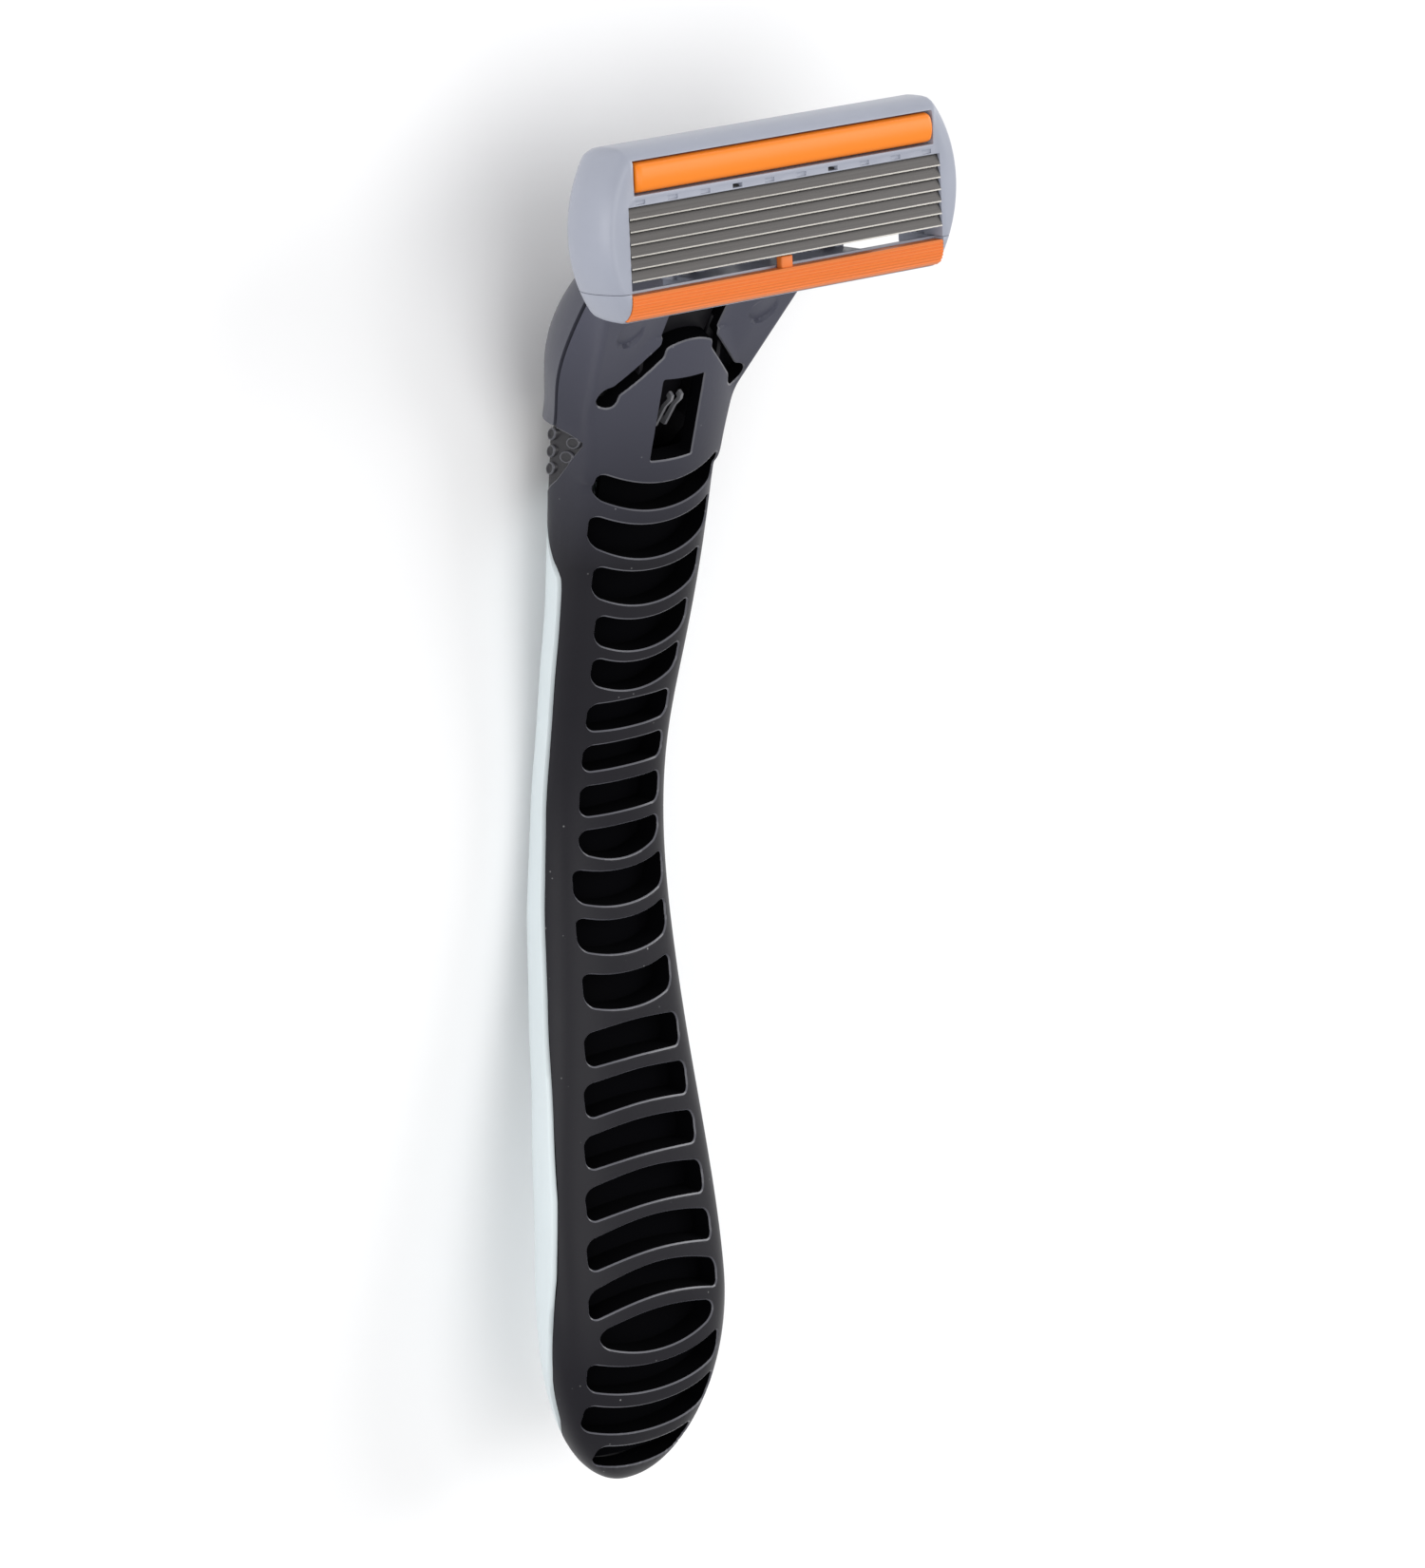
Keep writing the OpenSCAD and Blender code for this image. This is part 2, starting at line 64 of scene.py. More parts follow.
def axis_angle(axis):
    """Angle of an axis above the table, seen from the side."""
    return math.atan2(axis[2], axis[1])


class Place:
    """A local frame of the razor: x across, then its own y and z."""

    def __init__(self, origin, angle):
        self.origin = np.array(origin, float)
        self.turn = rotation_x(angle)

    def __call__(self, points):
        return np.asarray(points, float) @ self.turn.T + self.origin

    def back(self, points):
        return (np.asarray(points, float) - self.origin) @ self.turn

    def direction(self, v):
        return self.turn @ np.array(v, float)


ROW = Place([0, 0, 0], 0)
NECK = Place(np.array(joints["cartridge_pivot"]["pos_m"]) / MM, axis_angle(joints["release_slide"]["axis"]))
HEAD = Place(
    np.array(mounts["shaving_plane"]["pos_m"]) / MM,
    axis_angle(mounts["shaving_plane"]["axis"]) - math.pi / 2,
)


# ---------------------------------------------------------------- mesh helpers

def mesh_object(name, points, faces, materials, place=ROW, slots=None, sharp=50):
    """A mesh from points in a local frame, in millimetres."""
    mesh = bpy.data.meshes.new(name)
    faces = [tuple(int(i) for i in f) for f in faces]
    mesh.from_pydata([tuple(v) for v in place(points) * MM], [], faces)
    for m in materials:
        mesh.materials.append(m)
    if slots is not None:
        mesh.polygons.foreach_set("material_index", np.asarray(slots, np.int32))
    mesh.polygons.foreach_set("use_smooth", np.ones(len(mesh.polygons), bool))
    mesh.update()
    mesh.validate()
    mesh.set_sharp_from_angle(angle=math.radians(sharp))
    obj = bpy.data.objects.new(name, mesh)
    bpy.context.scene.collection.objects.link(obj)
    return obj


def ship(obj, body, node):
    """Every piece rides on a body and stands for its CAD node, which it hides."""
    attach(obj, body)
    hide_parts(node)


def apply_modifiers(obj):
    bpy.context.view_layer.update()
    graph = bpy.context.evaluated_depsgraph_get()
    mesh = bpy.data.meshes.new_from_object(obj.evaluated_get(graph))
    obj.modifiers.clear()
    old = obj.data
    obj.data = mesh
    bpy.data.meshes.remove(old)


def bevel(obj, width, segments=2, angle=38):
    """Rounds the sharp edges, then keeps the result as the mesh."""
    mod = obj.modifiers.new("bevel", "BEVEL")
    mod.width = width * MM
    mod.segments = segments
    mod.limit_method = "ANGLE"
    mod.angle_limit = math.radians(angle)
    mod.miter_outer = "MITER_ARC"
    apply_modifiers(obj)
    obj.data.polygons.foreach_set("use_smooth", np.ones(len(obj.data.polygons), bool))
    obj.data.set_sharp_from_angle(angle=math.radians(60))
    return obj


def recalc(obj):
    """Turns all faces outwards."""
    bm = bmesh.new()
    bm.from_mesh(obj.data)
    bmesh.ops.recalc_face_normals(bm, faces=bm.faces)
    bm.to_mesh(obj.data)
    bm.free()
    return obj


def cut(obj, mesh, place=ROW, operation="DIFFERENCE"):
    """Cuts the shape given by (points, faces) out of a piece, or keeps only what lies inside it."""
    cutter = recalc(mesh_object("cutter", *mesh, list(obj.data.materials), place))
    mod = obj.modifiers.new("cut", "BOOLEAN")
    mod.operation = operation
    mod.object = cutter
    mod.solver = "EXACT"
    apply_modifiers(obj)
    bpy.data.objects.remove(cutter)


def grid_faces(rows, cols, closed=False):
    """Quads of a grid of points; closed joins the last column to the first."""
    i, j = np.meshgrid(np.arange(rows - 1), np.arange(cols if closed else cols - 1), indexing="ij")
    k = (j + 1) % cols
    quads = [i * cols + j, i * cols + k, (i + 1) * cols + k, (i + 1) * cols + j]
    return np.stack(quads, -1).reshape(-1, 4)


def boxes(*corners):
    """Points and faces of several boxes, each given as (low corner, high corner)."""
    points, faces = [], []
    for low, high in corners:
        base = len(points)
        (x0, y0, z0), (x1, y1, z1) = low, high
        for z in (z0, z1):
            points += [(x0, y0, z), (x1, y0, z), (x1, y1, z), (x0, y1, z)]
        quads = [(3, 2, 1, 0), (4, 5, 6, 7), (0, 1, 5, 4), (1, 2, 6, 5), (2, 3, 7, 6), (3, 0, 4, 7)]
        faces += [tuple(base + q for q in quad) for quad in quads]
    return points, faces


def prisms(*parts):
    """Side outlines (y, z) run across from x0 to x1: each part is (outline, x0, x1)."""
    points, faces = [], []
    for outline, x0, x1 in parts:
        base, n = len(points), len(outline)
        points += [(x0, y, z) for y, z in outline] + [(x1, y, z) for y, z in outline]
        faces += [tuple(base + k for k in range(n - 1, -1, -1)), tuple(base + n + k for k in range(n))]
        faces += [(base + k, base + (k + 1) % n, base + n + (k + 1) % n, base + n + k) for k in range(n)]
    return points, faces


def both_sides(outline, near, far):
    """The outline as two prisms, one on each side of the middle."""
    return (outline, -far, -near), (outline, near, far)


def lengthwise(section, start, end, bottom):
    """An outline (x, height) run along a local frame's y from start to end."""
    n = len(section)
    points = [(x, y, bottom + h) for y in (start, end) for x, h in section]
    faces = [tuple(range(n)), tuple(range(2 * n - 1, n - 1, -1))]
    faces += [(k, k + n, (k + 1) % n + n, (k + 1) % n) for k in range(n)]
    return points, faces


def joined(*meshes):
    """One (points, faces) from several."""
    points, faces = [], []
    for p, f in meshes:
        faces += [tuple(len(points) + int(k) for k in face) for face in f]
        points += [tuple(q) for q in p]
    return points, faces


def arc(centre, radius, start, stop, n):
    """Points on an arc in a side outline, angles in degrees."""
    a = np.radians(np.linspace(start, stop, n))
    return [(centre[0] + radius * math.cos(t), centre[1] + radius * math.sin(t)) for t in a]


def spline(x, xs, ys):
    """Natural cubic spline through a few stations."""
    xs, ys = np.asarray(xs, float), np.asarray(ys, float)
    order = np.argsort(xs)
    xs, ys = xs[order], ys[order]
    h, n = np.diff(xs), len(xs)
    a, b = np.eye(n), np.zeros(n)
    for i in range(1, n - 1):
        a[i, i - 1:i + 2] = h[i - 1], 2 * (h[i - 1] + h[i]), h[i]
        b[i] = 6 * ((ys[i + 1] - ys[i]) / h[i] - (ys[i] - ys[i - 1]) / h[i - 1])
    m = np.linalg.solve(a, b)
    x = np.asarray(x, float)
    k = np.clip(np.searchsorted(xs, x) - 1, 0, n - 2)
    t, w = x - xs[k], h[k]
    slope = (ys[k + 1] - ys[k]) / w - w * (2 * m[k] + m[k + 1]) / 6
    return ys[k] + t * (slope + t * (m[k] / 2 + t * (m[k + 1] - m[k]) / (6 * w)))


def smooth(a, b, v):
    """0 below a, 1 above b and a soft step between."""
    t = np.clip((np.asarray(v, float) - a) / (b - a), 0, 1)
    return t * t * (3 - 2 * t)


def soft_max(a, b, r):
    """The larger of two heights, with a fillet about r wide where they cross."""
    h = np.clip(0.5 + 0.5 * (a - b) / r, 0, 1)
    return b + (a - b) * h + r * h * (1 - h)


def soft_min(a, b, r):
    return -soft_max(-a, -b, r)


# ---------------------------------------------------------------- materials

def material(name):
    m = bpy.data.materials.new(name)
    m.use_nodes = True
    nodes, links = m.node_tree.nodes, m.node_tree.links
    return m, nodes, links, nodes["Principled BSDF"]


def noise(nodes, links, coord, scale, detail=3, rough=0.55, stretch=(1, 1, 1)):
    mapping = nodes.new("ShaderNodeMapping")
    mapping.inputs["Scale"].default_value = stretch
    tex = nodes.new("ShaderNodeTexNoise")
    tex.inputs["Scale"].default_value = scale
    tex.inputs["Detail"].default_value = detail
    tex.inputs["Roughness"].default_value = rough
    links.new(coord, mapping.inputs["Vector"])
    links.new(mapping.outputs["Vector"], tex.inputs["Vector"])
    return tex.outputs["Fac"]


def ramp(nodes, links, fac, *stops):
    """Colour ramp with two stops, each (position, colour)."""
    r = nodes.new("ShaderNodeValToRGB")
    for element, (position, colour) in zip(r.color_ramp.elements, stops):
        element.position = position
        element.color = (*colour, 1)
    links.new(fac, r.inputs["Fac"])
    return r.outputs["Color"]


def mixed(nodes, links, factor, a, b, mode="MIX"):
    """Colour mix; the factor and both colours are sockets or plain values."""
    node = nodes.new("ShaderNodeMix")
    node.data_type = "RGBA"
    node.blend_type = mode
    for key, value in (("Factor", factor), (6, a), (7, b)):
        if isinstance(value, bpy.types.NodeSocket):
            links.new(value, node.inputs[key])
        else:
            node.inputs[key].default_value = value
    return node.outputs[2]


def to_range(nodes, links, fac, low, high, a=0.3, b=0.7):
    """Spreads values from a to b over low to high."""
    r = nodes.new("ShaderNodeMapRange")
    r.inputs["From Min"].default_value, r.inputs["From Max"].default_value = a, b
    r.inputs["To Min"].default_value, r.inputs["To Max"].default_value = low, high
    links.new(fac, r.inputs["Value"])
    return r.outputs["Result"]


def bump(nodes, links, shader, height, strength, distance):
    b = nodes.new("ShaderNodeBump")
    b.inputs["Strength"].default_value = strength
    b.inputs["Distance"].default_value = distance
    links.new(height, b.inputs["Height"])
    links.new(b.outputs["Normal"], shader.inputs["Normal"])


def srgb(r, g, b):
    def lin(c):
        c = c / 255
        return c / 12.92 if c <= 0.04045 else ((c + 0.055) / 1.055) ** 2.4
    return (lin(r), lin(g), lin(b))


def scaled(colour, k):
    return tuple(min(c * k, 1) for c in colour)


def plastic(name, colour, rough=(0.3, 0.42), grain=2600, depth=0.00002, spread=0.06, specks=None,
            stretch=(1, 1, 1), shine=0.5, toward=None):
    """Moulded plastic: faint clouding and fine grain. specks (scale, size) adds pale dust, and
    toward (colour, start, end) fades it into another colour along the object's own Y, in metres, which
    paints in a reflection."""
    m, nodes, links, shader = material(name)
    coord = nodes.new("ShaderNodeTexCoord").outputs["Object"]
    clouds = noise(nodes, links, coord, 90, 4, 0.6, stretch)
    dark, light = scaled(colour, 1 - spread), scaled(colour, 1 + spread)
    base = ramp(nodes, links, clouds, (0.3, dark), (0.7, light))
    black, white = (0, 0, 0), (1, 1, 1)
    if specks:
        scale, size = specks
        dots = nodes.new("ShaderNodeTexVoronoi")
        dots.inputs["Scale"].default_value = scale
        links.new(coord, dots.inputs["Vector"])
        gate = ramp(nodes, links, dots.outputs["Distance"], (0.0, white), (size, black))
        thin = ramp(nodes, links, noise(nodes, links, coord, 160, 2), (0.53, black), (0.6, white))
        both = mixed(nodes, links, 1, gate, thin, "MULTIPLY")
        dust = tuple(c + (1 - c) * 0.35 for c in colour)
        base = mixed(nodes, links, both, base, (*dust, 1))
    # painted reflection: the colour lightens along Y, as light falls on the neck's front
    if toward:
        other, start, end = toward
        split = nodes.new("ShaderNodeSeparateXYZ")
        links.new(coord, split.inputs[0])
        fade = to_range(nodes, links, split.outputs["Y"], 0, 1, start, end)
        base = mixed(nodes, links, fade, base, (*other, 1))
    links.new(base, shader.inputs["Base Color"])
    shader.inputs["Specular IOR Level"].default_value = shine
    fine = noise(nodes, links, coord, grain, 2, 0.5, stretch)
    links.new(to_range(nodes, links, clouds, *rough), shader.inputs["Roughness"])
    bump(nodes, links, shader, fine, 0.35, depth)
    return m


def steel(name, colour, rough, streak=0.25):
    """Rolled and ground steel: fine streaks along the blade."""
    m, nodes, links, shader = material(name)
    coord = nodes.new("ShaderNodeTexCoord").outputs["Object"]
    lines = noise(nodes, links, coord, 500, 4, 0.6, (0.04, 8, 8))
    base = ramp(nodes, links, lines, (0.3, scaled(colour, 1 - streak)), (0.7, scaled(colour, 1 + streak)))
    links.new(base, shader.inputs["Base Color"])
    links.new(to_range(nodes, links, lines, rough - 0.07, rough + 0.08), shader.inputs["Roughness"])
    shader.inputs["Metallic"].default_value = 1.0
    bump(nodes, links, shader, lines, 0.25, 0.000006)
    return m


# charcoal along the grip, with a painted reflection that lightens it to grey up the neck
dark_plastic = plastic(
    "charcoal_plastic", srgb(24, 23, 29), (0.38, 0.48), specks=(900, 0.1), shine=0.22,
    toward=(srgb(84, 85, 98), 0.024, 0.054),
)
neck_plastic = plastic("neck_plastic", srgb(76, 77, 87), (0.28, 0.38), shine=0.4)
# lighter grey as a painted highlight on the lips of the pockets and openings and on the button's oval rings
painted_lip_highlight = plastic("painted_lip_highlight", srgb(86, 86, 93), (0.25, 0.35))
black_plastic = plastic("black_plastic", srgb(20, 19, 23), (0.45, 0.6), shine=0.2)
# near black as painted shade on the walls and floors of the pockets, the neck's openings and the notch
painted_pocket_shade = plastic("painted_pocket_shade", srgb(5, 5, 7), (0.8, 0.95), spread=0.15, shine=0.03)
# grey as a painted highlight on the ejector's thin tongues, which belong to the black slide
painted_tongue_highlight = plastic("painted_tongue_highlight", srgb(112, 112, 116))
grain_black = plastic("grained_black", srgb(40, 39, 43), (0.36, 0.58), 1500, 0.00012, 0.2)
pale_plastic = plastic("pale_plastic", srgb(208, 217, 220), (0.3, 0.4), spread=0.02)
head_plastic = plastic("head_plastic", srgb(154, 158, 171), (0.3, 0.4), spread=0.04, specks=(420, 0.05))
strip_orange = plastic(
    "strip_orange", srgb(240, 128, 10), (0.34, 0.46), 900, 0.00002, 0.05, stretch=(0.05, 1, 1),
)
guard_orange = plastic(
    "guard_orange", srgb(226, 120, 46), (0.42, 0.55), 1400, 0.00004, 0.06, stretch=(0.1, 1, 1),
)
blade_steel = steel("blade_steel", srgb(86, 84, 83), 0.42, 0.18)
edge_steel = steel("edge_steel", srgb(158, 155, 150), 0.3, 0.1)
spring_steel = steel("spring_steel", srgb(190, 190, 192), 0.25)


# ---------------------------------------------------------------- grip shape

# Stations of the grip: place along Y, half width, front height, back height
GRIP = [
    (42, 8.6, 12.9, -0.4), (36, 8.4, 11.7, 0.6), (24, 8.1, 10.0, 1.6), (14, 7.5, 8.6, 1.0),
    (6, 7.0, 7.5, 0.2), (0, 6.9, 7.4, -0.1), (-6, 7.1, 7.9, 0.0), (-14, 7.6, 9.3, 0.8),
    (-24, 8.5, 11.3, 2.9), (-36, 9.8, 13.8, 5.6), (-46, 10.4, 15.9, 7.1), (-56, 10.6, 16.75, 7.75),
    (-66, 10.8, 16.4, 7.9),
]
GRIP_POWER = 2.4  # of the section, a superellipse
TAIL_START, TAIL_END = -45.1, -64.0
SPINE_FRONT, SPINE_REAR = 29.4, -60.6
# Height of the parting line over the section's middle, as (y, height)
PARTING_LINE = [
    (-57, 0), (-52, 0.4), (-42, 1.6), (-35, 1.8), (-20, 1.3), (0, 0.9), (22, 0.9), (27, 0.2), (29.4, -0.6),
]


def station(y, column):
    return spline(y, [s[0] for s in GRIP], [s[column] for s in GRIP])


def tail_scale(y):
    """The section shrinks to nothing over the round tail."""
    t = np.clip((TAIL_START - y) / (TAIL_START - TAIL_END), 0, 1)
    return np.sqrt(np.maximum(1 - t * t, 1e-6))


def grip_sizes(y):
    """Half width, half thickness and middle height of the section at y."""
    front, back = station(y, 2), station(y, 3)
    return station(y, 1) * tail_scale(y), (front - back) / 2 * tail_scale(y), (front + back) / 2


def dome(across):
    """Height of the section over its middle, for a place across it from -1 to 1."""
    return (1 - np.clip(np.abs(across), 0, 1) ** GRIP_POWER) ** (1 / GRIP_POWER)


def power(v):
    """Turns a cosine or sine into the superellipse's."""
    return np.sign(v) * np.abs(v) ** (2 / GRIP_POWER)


def grip_point(y, angle):
    """Point on the section at y; angle runs from +x (0) over the front (90 degrees)."""
    w, t, mid = grip_sizes(y)
    return np.stack([w * power(np.cos(angle)), y, mid + t * power(np.sin(angle))], -1)


def parting_angle(y):
    """Where the charcoal frame ends and the pale cover starts, as an angle above the middle."""
    rise = np.interp(y, *zip(*PARTING_LINE))
    a = np.arcsin(np.clip(np.abs(rise) / grip_sizes(y)[1], 0, 0.9) ** (GRIP_POWER / 2)) * np.sign(rise)
    # the cover narrows to a round end at the tail and to a blunt tip behind the button
    rear_start, tip_length = -56, 6.5
    rear = np.sqrt(1 - np.clip((rear_start - y) / (rear_start - SPINE_REAR), 0, 1) ** 2)
    tip = np.sqrt(np.clip((SPINE_FRONT - y) / tip_length, 0, 1))
    return (a + math.pi / 2) * rear * (0.35 + 0.65 * tip) - math.pi / 2


# Pockets from the neck to the tail: half width, then the upper edge's place along Y at its ends and
# in the middle, then the lower edge's
POCKETS = [
    (7.1, 33.6, 31.9, 31.0, 29.2), (7.0, 29.5, 27.9, 26.5, 24.5), (6.2, 24.6, 23.4, 21.6, 20.0),
    (5.4, 19.8, 18.7, 16.9, 15.5), (5.1, 15.6, 14.5, 12.9, 11.6), (4.8, 10.8, 10.8, 8.1, 7.9),
    (4.7, 6.7, 6.7, 4.1, 4.1), (4.7, 2.8, 2.8, -0.2, -0.2), (4.7, -1.4, -1.4, -3.5, -4.6),
    (5.3, -4.9, -5.6, -8.0, -8.9), (5.3, -9.3, -10.1, -12.4, -13.3), (5.2, -14.4, -15.0, -17.5, -18.3),
    (5.6, -20.0, -19.4, -23.1, -22.7), (6.1, -24.6, -23.9, -27.7, -27.0), (6.6, -29.3, -28.4, -32.3, -31.7),
    (7.0, -34.0, -32.9, -37.0, -36.2), (7.4, -38.6, -37.3, -41.5, -40.4), (7.7, -43.3, -41.6, -46.0, -44.6),
    (6.8, -46.9, -45.8, -48.4, -49.8), (7.9, -49.8, -51.0, -52.6, -53.8), (7.7, -54.0, -55.1, -56.9, -58.0),
    (5.6, -58.7, -59.3, -61.1, -61.9),
]
POCKET_DEPTH = 2.5
POCKET_CORNER = 0.95
POCKET_GROWTH = 0.08
FAR = 9.0


def round_box(x, y, half_x, half_y, r):
    """Signed distance to a rectangle with corners rounded by r, negative inside."""
    qx, qy = x - half_x + r, y - half_y + r
    return np.hypot(np.maximum(qx, 0), np.maximum(qy, 0)) + np.minimum(np.maximum(qx, qy), 0) - r


def pocket_distance(p):
    """Signed distance to the nearest pocket outline; the pockets are only in the front."""
    x, y = np.abs(p[..., 0]), p[..., 1]
    best = np.full(x.shape, FAR)
    for half, top_end, top_mid, low_end, low_mid in POCKETS:
        t = np.clip(x / half, 0, 1.2) ** 2
        top, low = top_mid + (top_end - top_mid) * t, low_mid + (low_end - low_mid) * t
        tall = np.maximum((top - low) / 2, 0.3)
        corner = np.minimum(POCKET_CORNER, tall)
        best = np.minimum(best, round_box(x, np.abs(y - (top + low) / 2), half, tall, corner))
    return np.where(p[..., 2] > grip_sizes(y)[2], best - POCKET_GROWTH, FAR)


# ---------------------------------------------------------------- neck shape

# The neck's frame has X across, u along the neck up to the pivot and m forward
FORK_END = -2.9
SEAM = 0.15
SHELL_RIM = -0.2
PLATE_TOP = 2.25
CROWN_R = 16.0
CROWN_SLOPE = math.radians(16.4)
# The rear shell along the neck, as (u, half width, depth)
SHELL = [
    (-3.6, 11.9, 4.0), (-7, 12.4, 5.4), (-11, 12.6, 6.5), (-16, 12.0, 6.4), (-21, 10.2, 5.4),
    (-27, 8.6, 4.9),
]


def shell_size(u, column):
    return spline(np.clip(u, SHELL[-1][0], SHELL[0][0]), [s[0] for s in SHELL], [s[column] for s in SHELL])


def fork_half(u):
    """Half width of the front skin, which narrows to a constant one down the neck."""
    return soft_max(13.73 + 0.25 * u, np.full_like(u, 8.15), 0.6)


def crown(x, u):
    """Height of the round tongue that rises towards the grip."""
    fall = (CROWN_R - np.sqrt(np.maximum(CROWN_R ** 2 - x * x, 1))) / math.cos(CROWN_SLOPE)
    return 3.5 - (u + 15.35) * math.tan(CROWN_SLOPE) - fall


def front_height(x, u):
    """Height of the front skin: the crown runs into the flat, slightly dished arms."""
    dish = 0.45 * smooth(7.5, 3.5, np.abs(x)) * smooth(-16, -11, u)
    return soft_max(crown(x, u) - 3 * smooth(-11.6, -11.0, u), PLATE_TOP - dish, 0.5)


WALL_SHARE = 0.2


def neck_section(u, f):
    """Point of the neck's front skin at u; f runs from -1 (left seam) over the front to 1 (right seam).
    The last share on each side is the side wall."""
    half = fork_half(u)
    g = np.abs(f)
    edge_r = 0.8
    front = np.clip(g / (1 - WALL_SHARE), 0, 1)
    x_front = half * (1.08 * front - 0.08 * front ** 3)
    x_front = np.minimum(x_front, half - 0.02)
    d = np.clip((half - x_front) / edge_r, 0, 1)
    m_front = front_height(x_front, u) - edge_r * (1 - np.sqrt(1 - (1 - d) ** 2))
    x_edge = half - 0.02
    m_edge = front_height(x_edge, u) - edge_r * (1 - math.sqrt(1 - (1 - 0.02 / edge_r) ** 2))
    down = np.clip((g - (1 - WALL_SHARE)) / WALL_SHARE, 0, 1)
    # the wall flares out to the rear shell's rim
    flare = np.maximum(shell_size(u, 1) - half - 0.05, 0.12)
    x = np.where(g > 1 - WALL_SHARE, x_edge + flare * down ** 1.3, x_front)
    m = np.where(g > 1 - WALL_SHARE, m_edge + (SEAM - m_edge) * down, m_front)
    return np.stack([np.sign(f) * x, np.broadcast_to(u, x.shape), m], -1)


def grip_section(y, f):
    """The same for the grip: the side wall runs down to the parting line."""
    g = np.abs(f)
    edge = math.radians(24)
    front = math.pi / 2 + (edge - math.pi / 2) * np.clip(g / (1 - WALL_SHARE), 0, 1)
    down = np.clip((g - (1 - WALL_SHARE)) / WALL_SHARE, 0, 1)
    angle = np.where(g > 1 - WALL_SHARE, edge + (parting_angle(y) - edge) * down, front)
    p = grip_point(np.broadcast_to(y, angle.shape), angle)
    p[..., 0] = np.abs(p[..., 0]) * np.sign(f)
    return p


def capsule(x, u, a, b, r):
    """Signed distance to a bar with round ends, from a to b."""
    ax, au = x - a[0], u - a[1]
    bx, bu = b[0] - a[0], b[1] - a[1]
    t = np.clip((ax * bx + au * bu) / (bx * bx + bu * bu), 0, 1)
    return np.hypot(ax - bx * t, au - bu * t) - r


def neck_distance(p):
    """Signed distance to the openings of the neck: between the arms, the two slits and the window."""
    q = NECK.back(p)
    x, u = np.abs(q[..., 0]), q[..., 1]
    tip = -11.9 - 0.095 * x * x
    between = np.maximum(x - (3.3 + 0.045 * (u + 12.9)), (tip - u) * 0.95)
    slit = capsule(x, u, (3.3, -13.0), (7.42, -17.3), 0.66)
    end = np.hypot(x - 7.5, u + 17.35) - 1.15
    open_neck = soft_min(between, soft_min(slit, end, 0.3), 0.5)
    window = round_box(x, np.abs(u + 19.25), 2.5, 3.9, 0.25)
    return np.minimum(open_neck, window)


# Notch in the flank that the button sits in, as a side outline (y, z)
NOTCH = [
    (29.3, -3), (37.5, -3), (37.4, 6.9), (36.2, 8.9), (35.8, 8.9), (31.8, 5.6), (29.9, 3.2), (29.3, 1.9),
]


def polygon_distance(y, z, outline):
    """Signed distance to a polygon, negative inside."""
    d = np.full(y.shape, 1e9)
    inside = np.zeros(y.shape, bool)
    n = len(outline)
    for k in range(n):
        (ay, az), (by, bz) = outline[k], outline[(k + 1) % n]
        ey, ez = by - ay, bz - az
        wy, wz = y - ay, z - az
        t = np.clip((wy * ey + wz * ez) / (ey * ey + ez * ez), 0, 1)
        d = np.minimum(d, np.hypot(wy - ey * t, wz - ez * t))
        inside ^= ((az > z) != (bz > z)) & (y < ey * (z - az) / (ez or 1e-9) + ay)
    return np.where(inside, -d, d)


def notch_distance(p):
    return polygon_distance(p[..., 1], p[..., 2], NOTCH)


# ---------------------------------------------------------------- skins with openings

def gradient(field, p, h=0.01):
    """Slope of a distance at each point, by central differences."""
    g = np.zeros_like(p)
    for k in range(3):
        step = np.zeros(3)
        step[k] = h
        g[:, k] = (field(p + step) - field(p - step)) / (2 * h)
    return g


def nearest_field(fields, p):
    """Value of the nearest opening at each point, and which opening it is."""
    values = np.stack([f(p) for f, _, _ in fields])
    return values.min(0), values.argmin(0)


def onto_outline(fields, p, steps=3):
    """Slides points along the gradient until they lie on the nearest opening's outline."""
    _, which = nearest_field(fields, p)
    for k, (field, _, _) in enumerate(fields):
        mine = which == k
        if not mine.any():
            continue
        q = p[mine]
        for _ in range(steps):
            g = gradient(field, q)
            length = np.maximum((g * g).sum(1), 0.2)
            q = q - np.clip(field(q) / length, -0.2, 0.2)[:, None] * g
        p[mine] = q
    return p


def clip_faces(quads, d, p):
    """Cuts quads along d = 0. Returns the faces left on the positive side and the points added."""
    low, high = d[quads].min(1), d[quads].max(1)
    faces = [tuple(q) for q in quads[low >= 0].tolist()]
    added, index = [], {}
    for quad in quads[(low < 0) & (high > 0)].tolist():
        face = []
        for a, b in zip(quad, quad[1:] + quad[:1]):
            if d[a] >= 0:
                face.append(a)
            if d[a] * d[b] < 0:
                key = (min(a, b), max(a, b))
                if key not in index:
                    index[key] = len(p) + len(added)
                    added.append(p[a] + (p[b] - p[a]) * d[a] / (d[a] - d[b]))
                face.append(index[key])
        if len(face) > 2:
            faces.append(tuple(face))
    return faces, np.array(added).reshape(-1, 3)


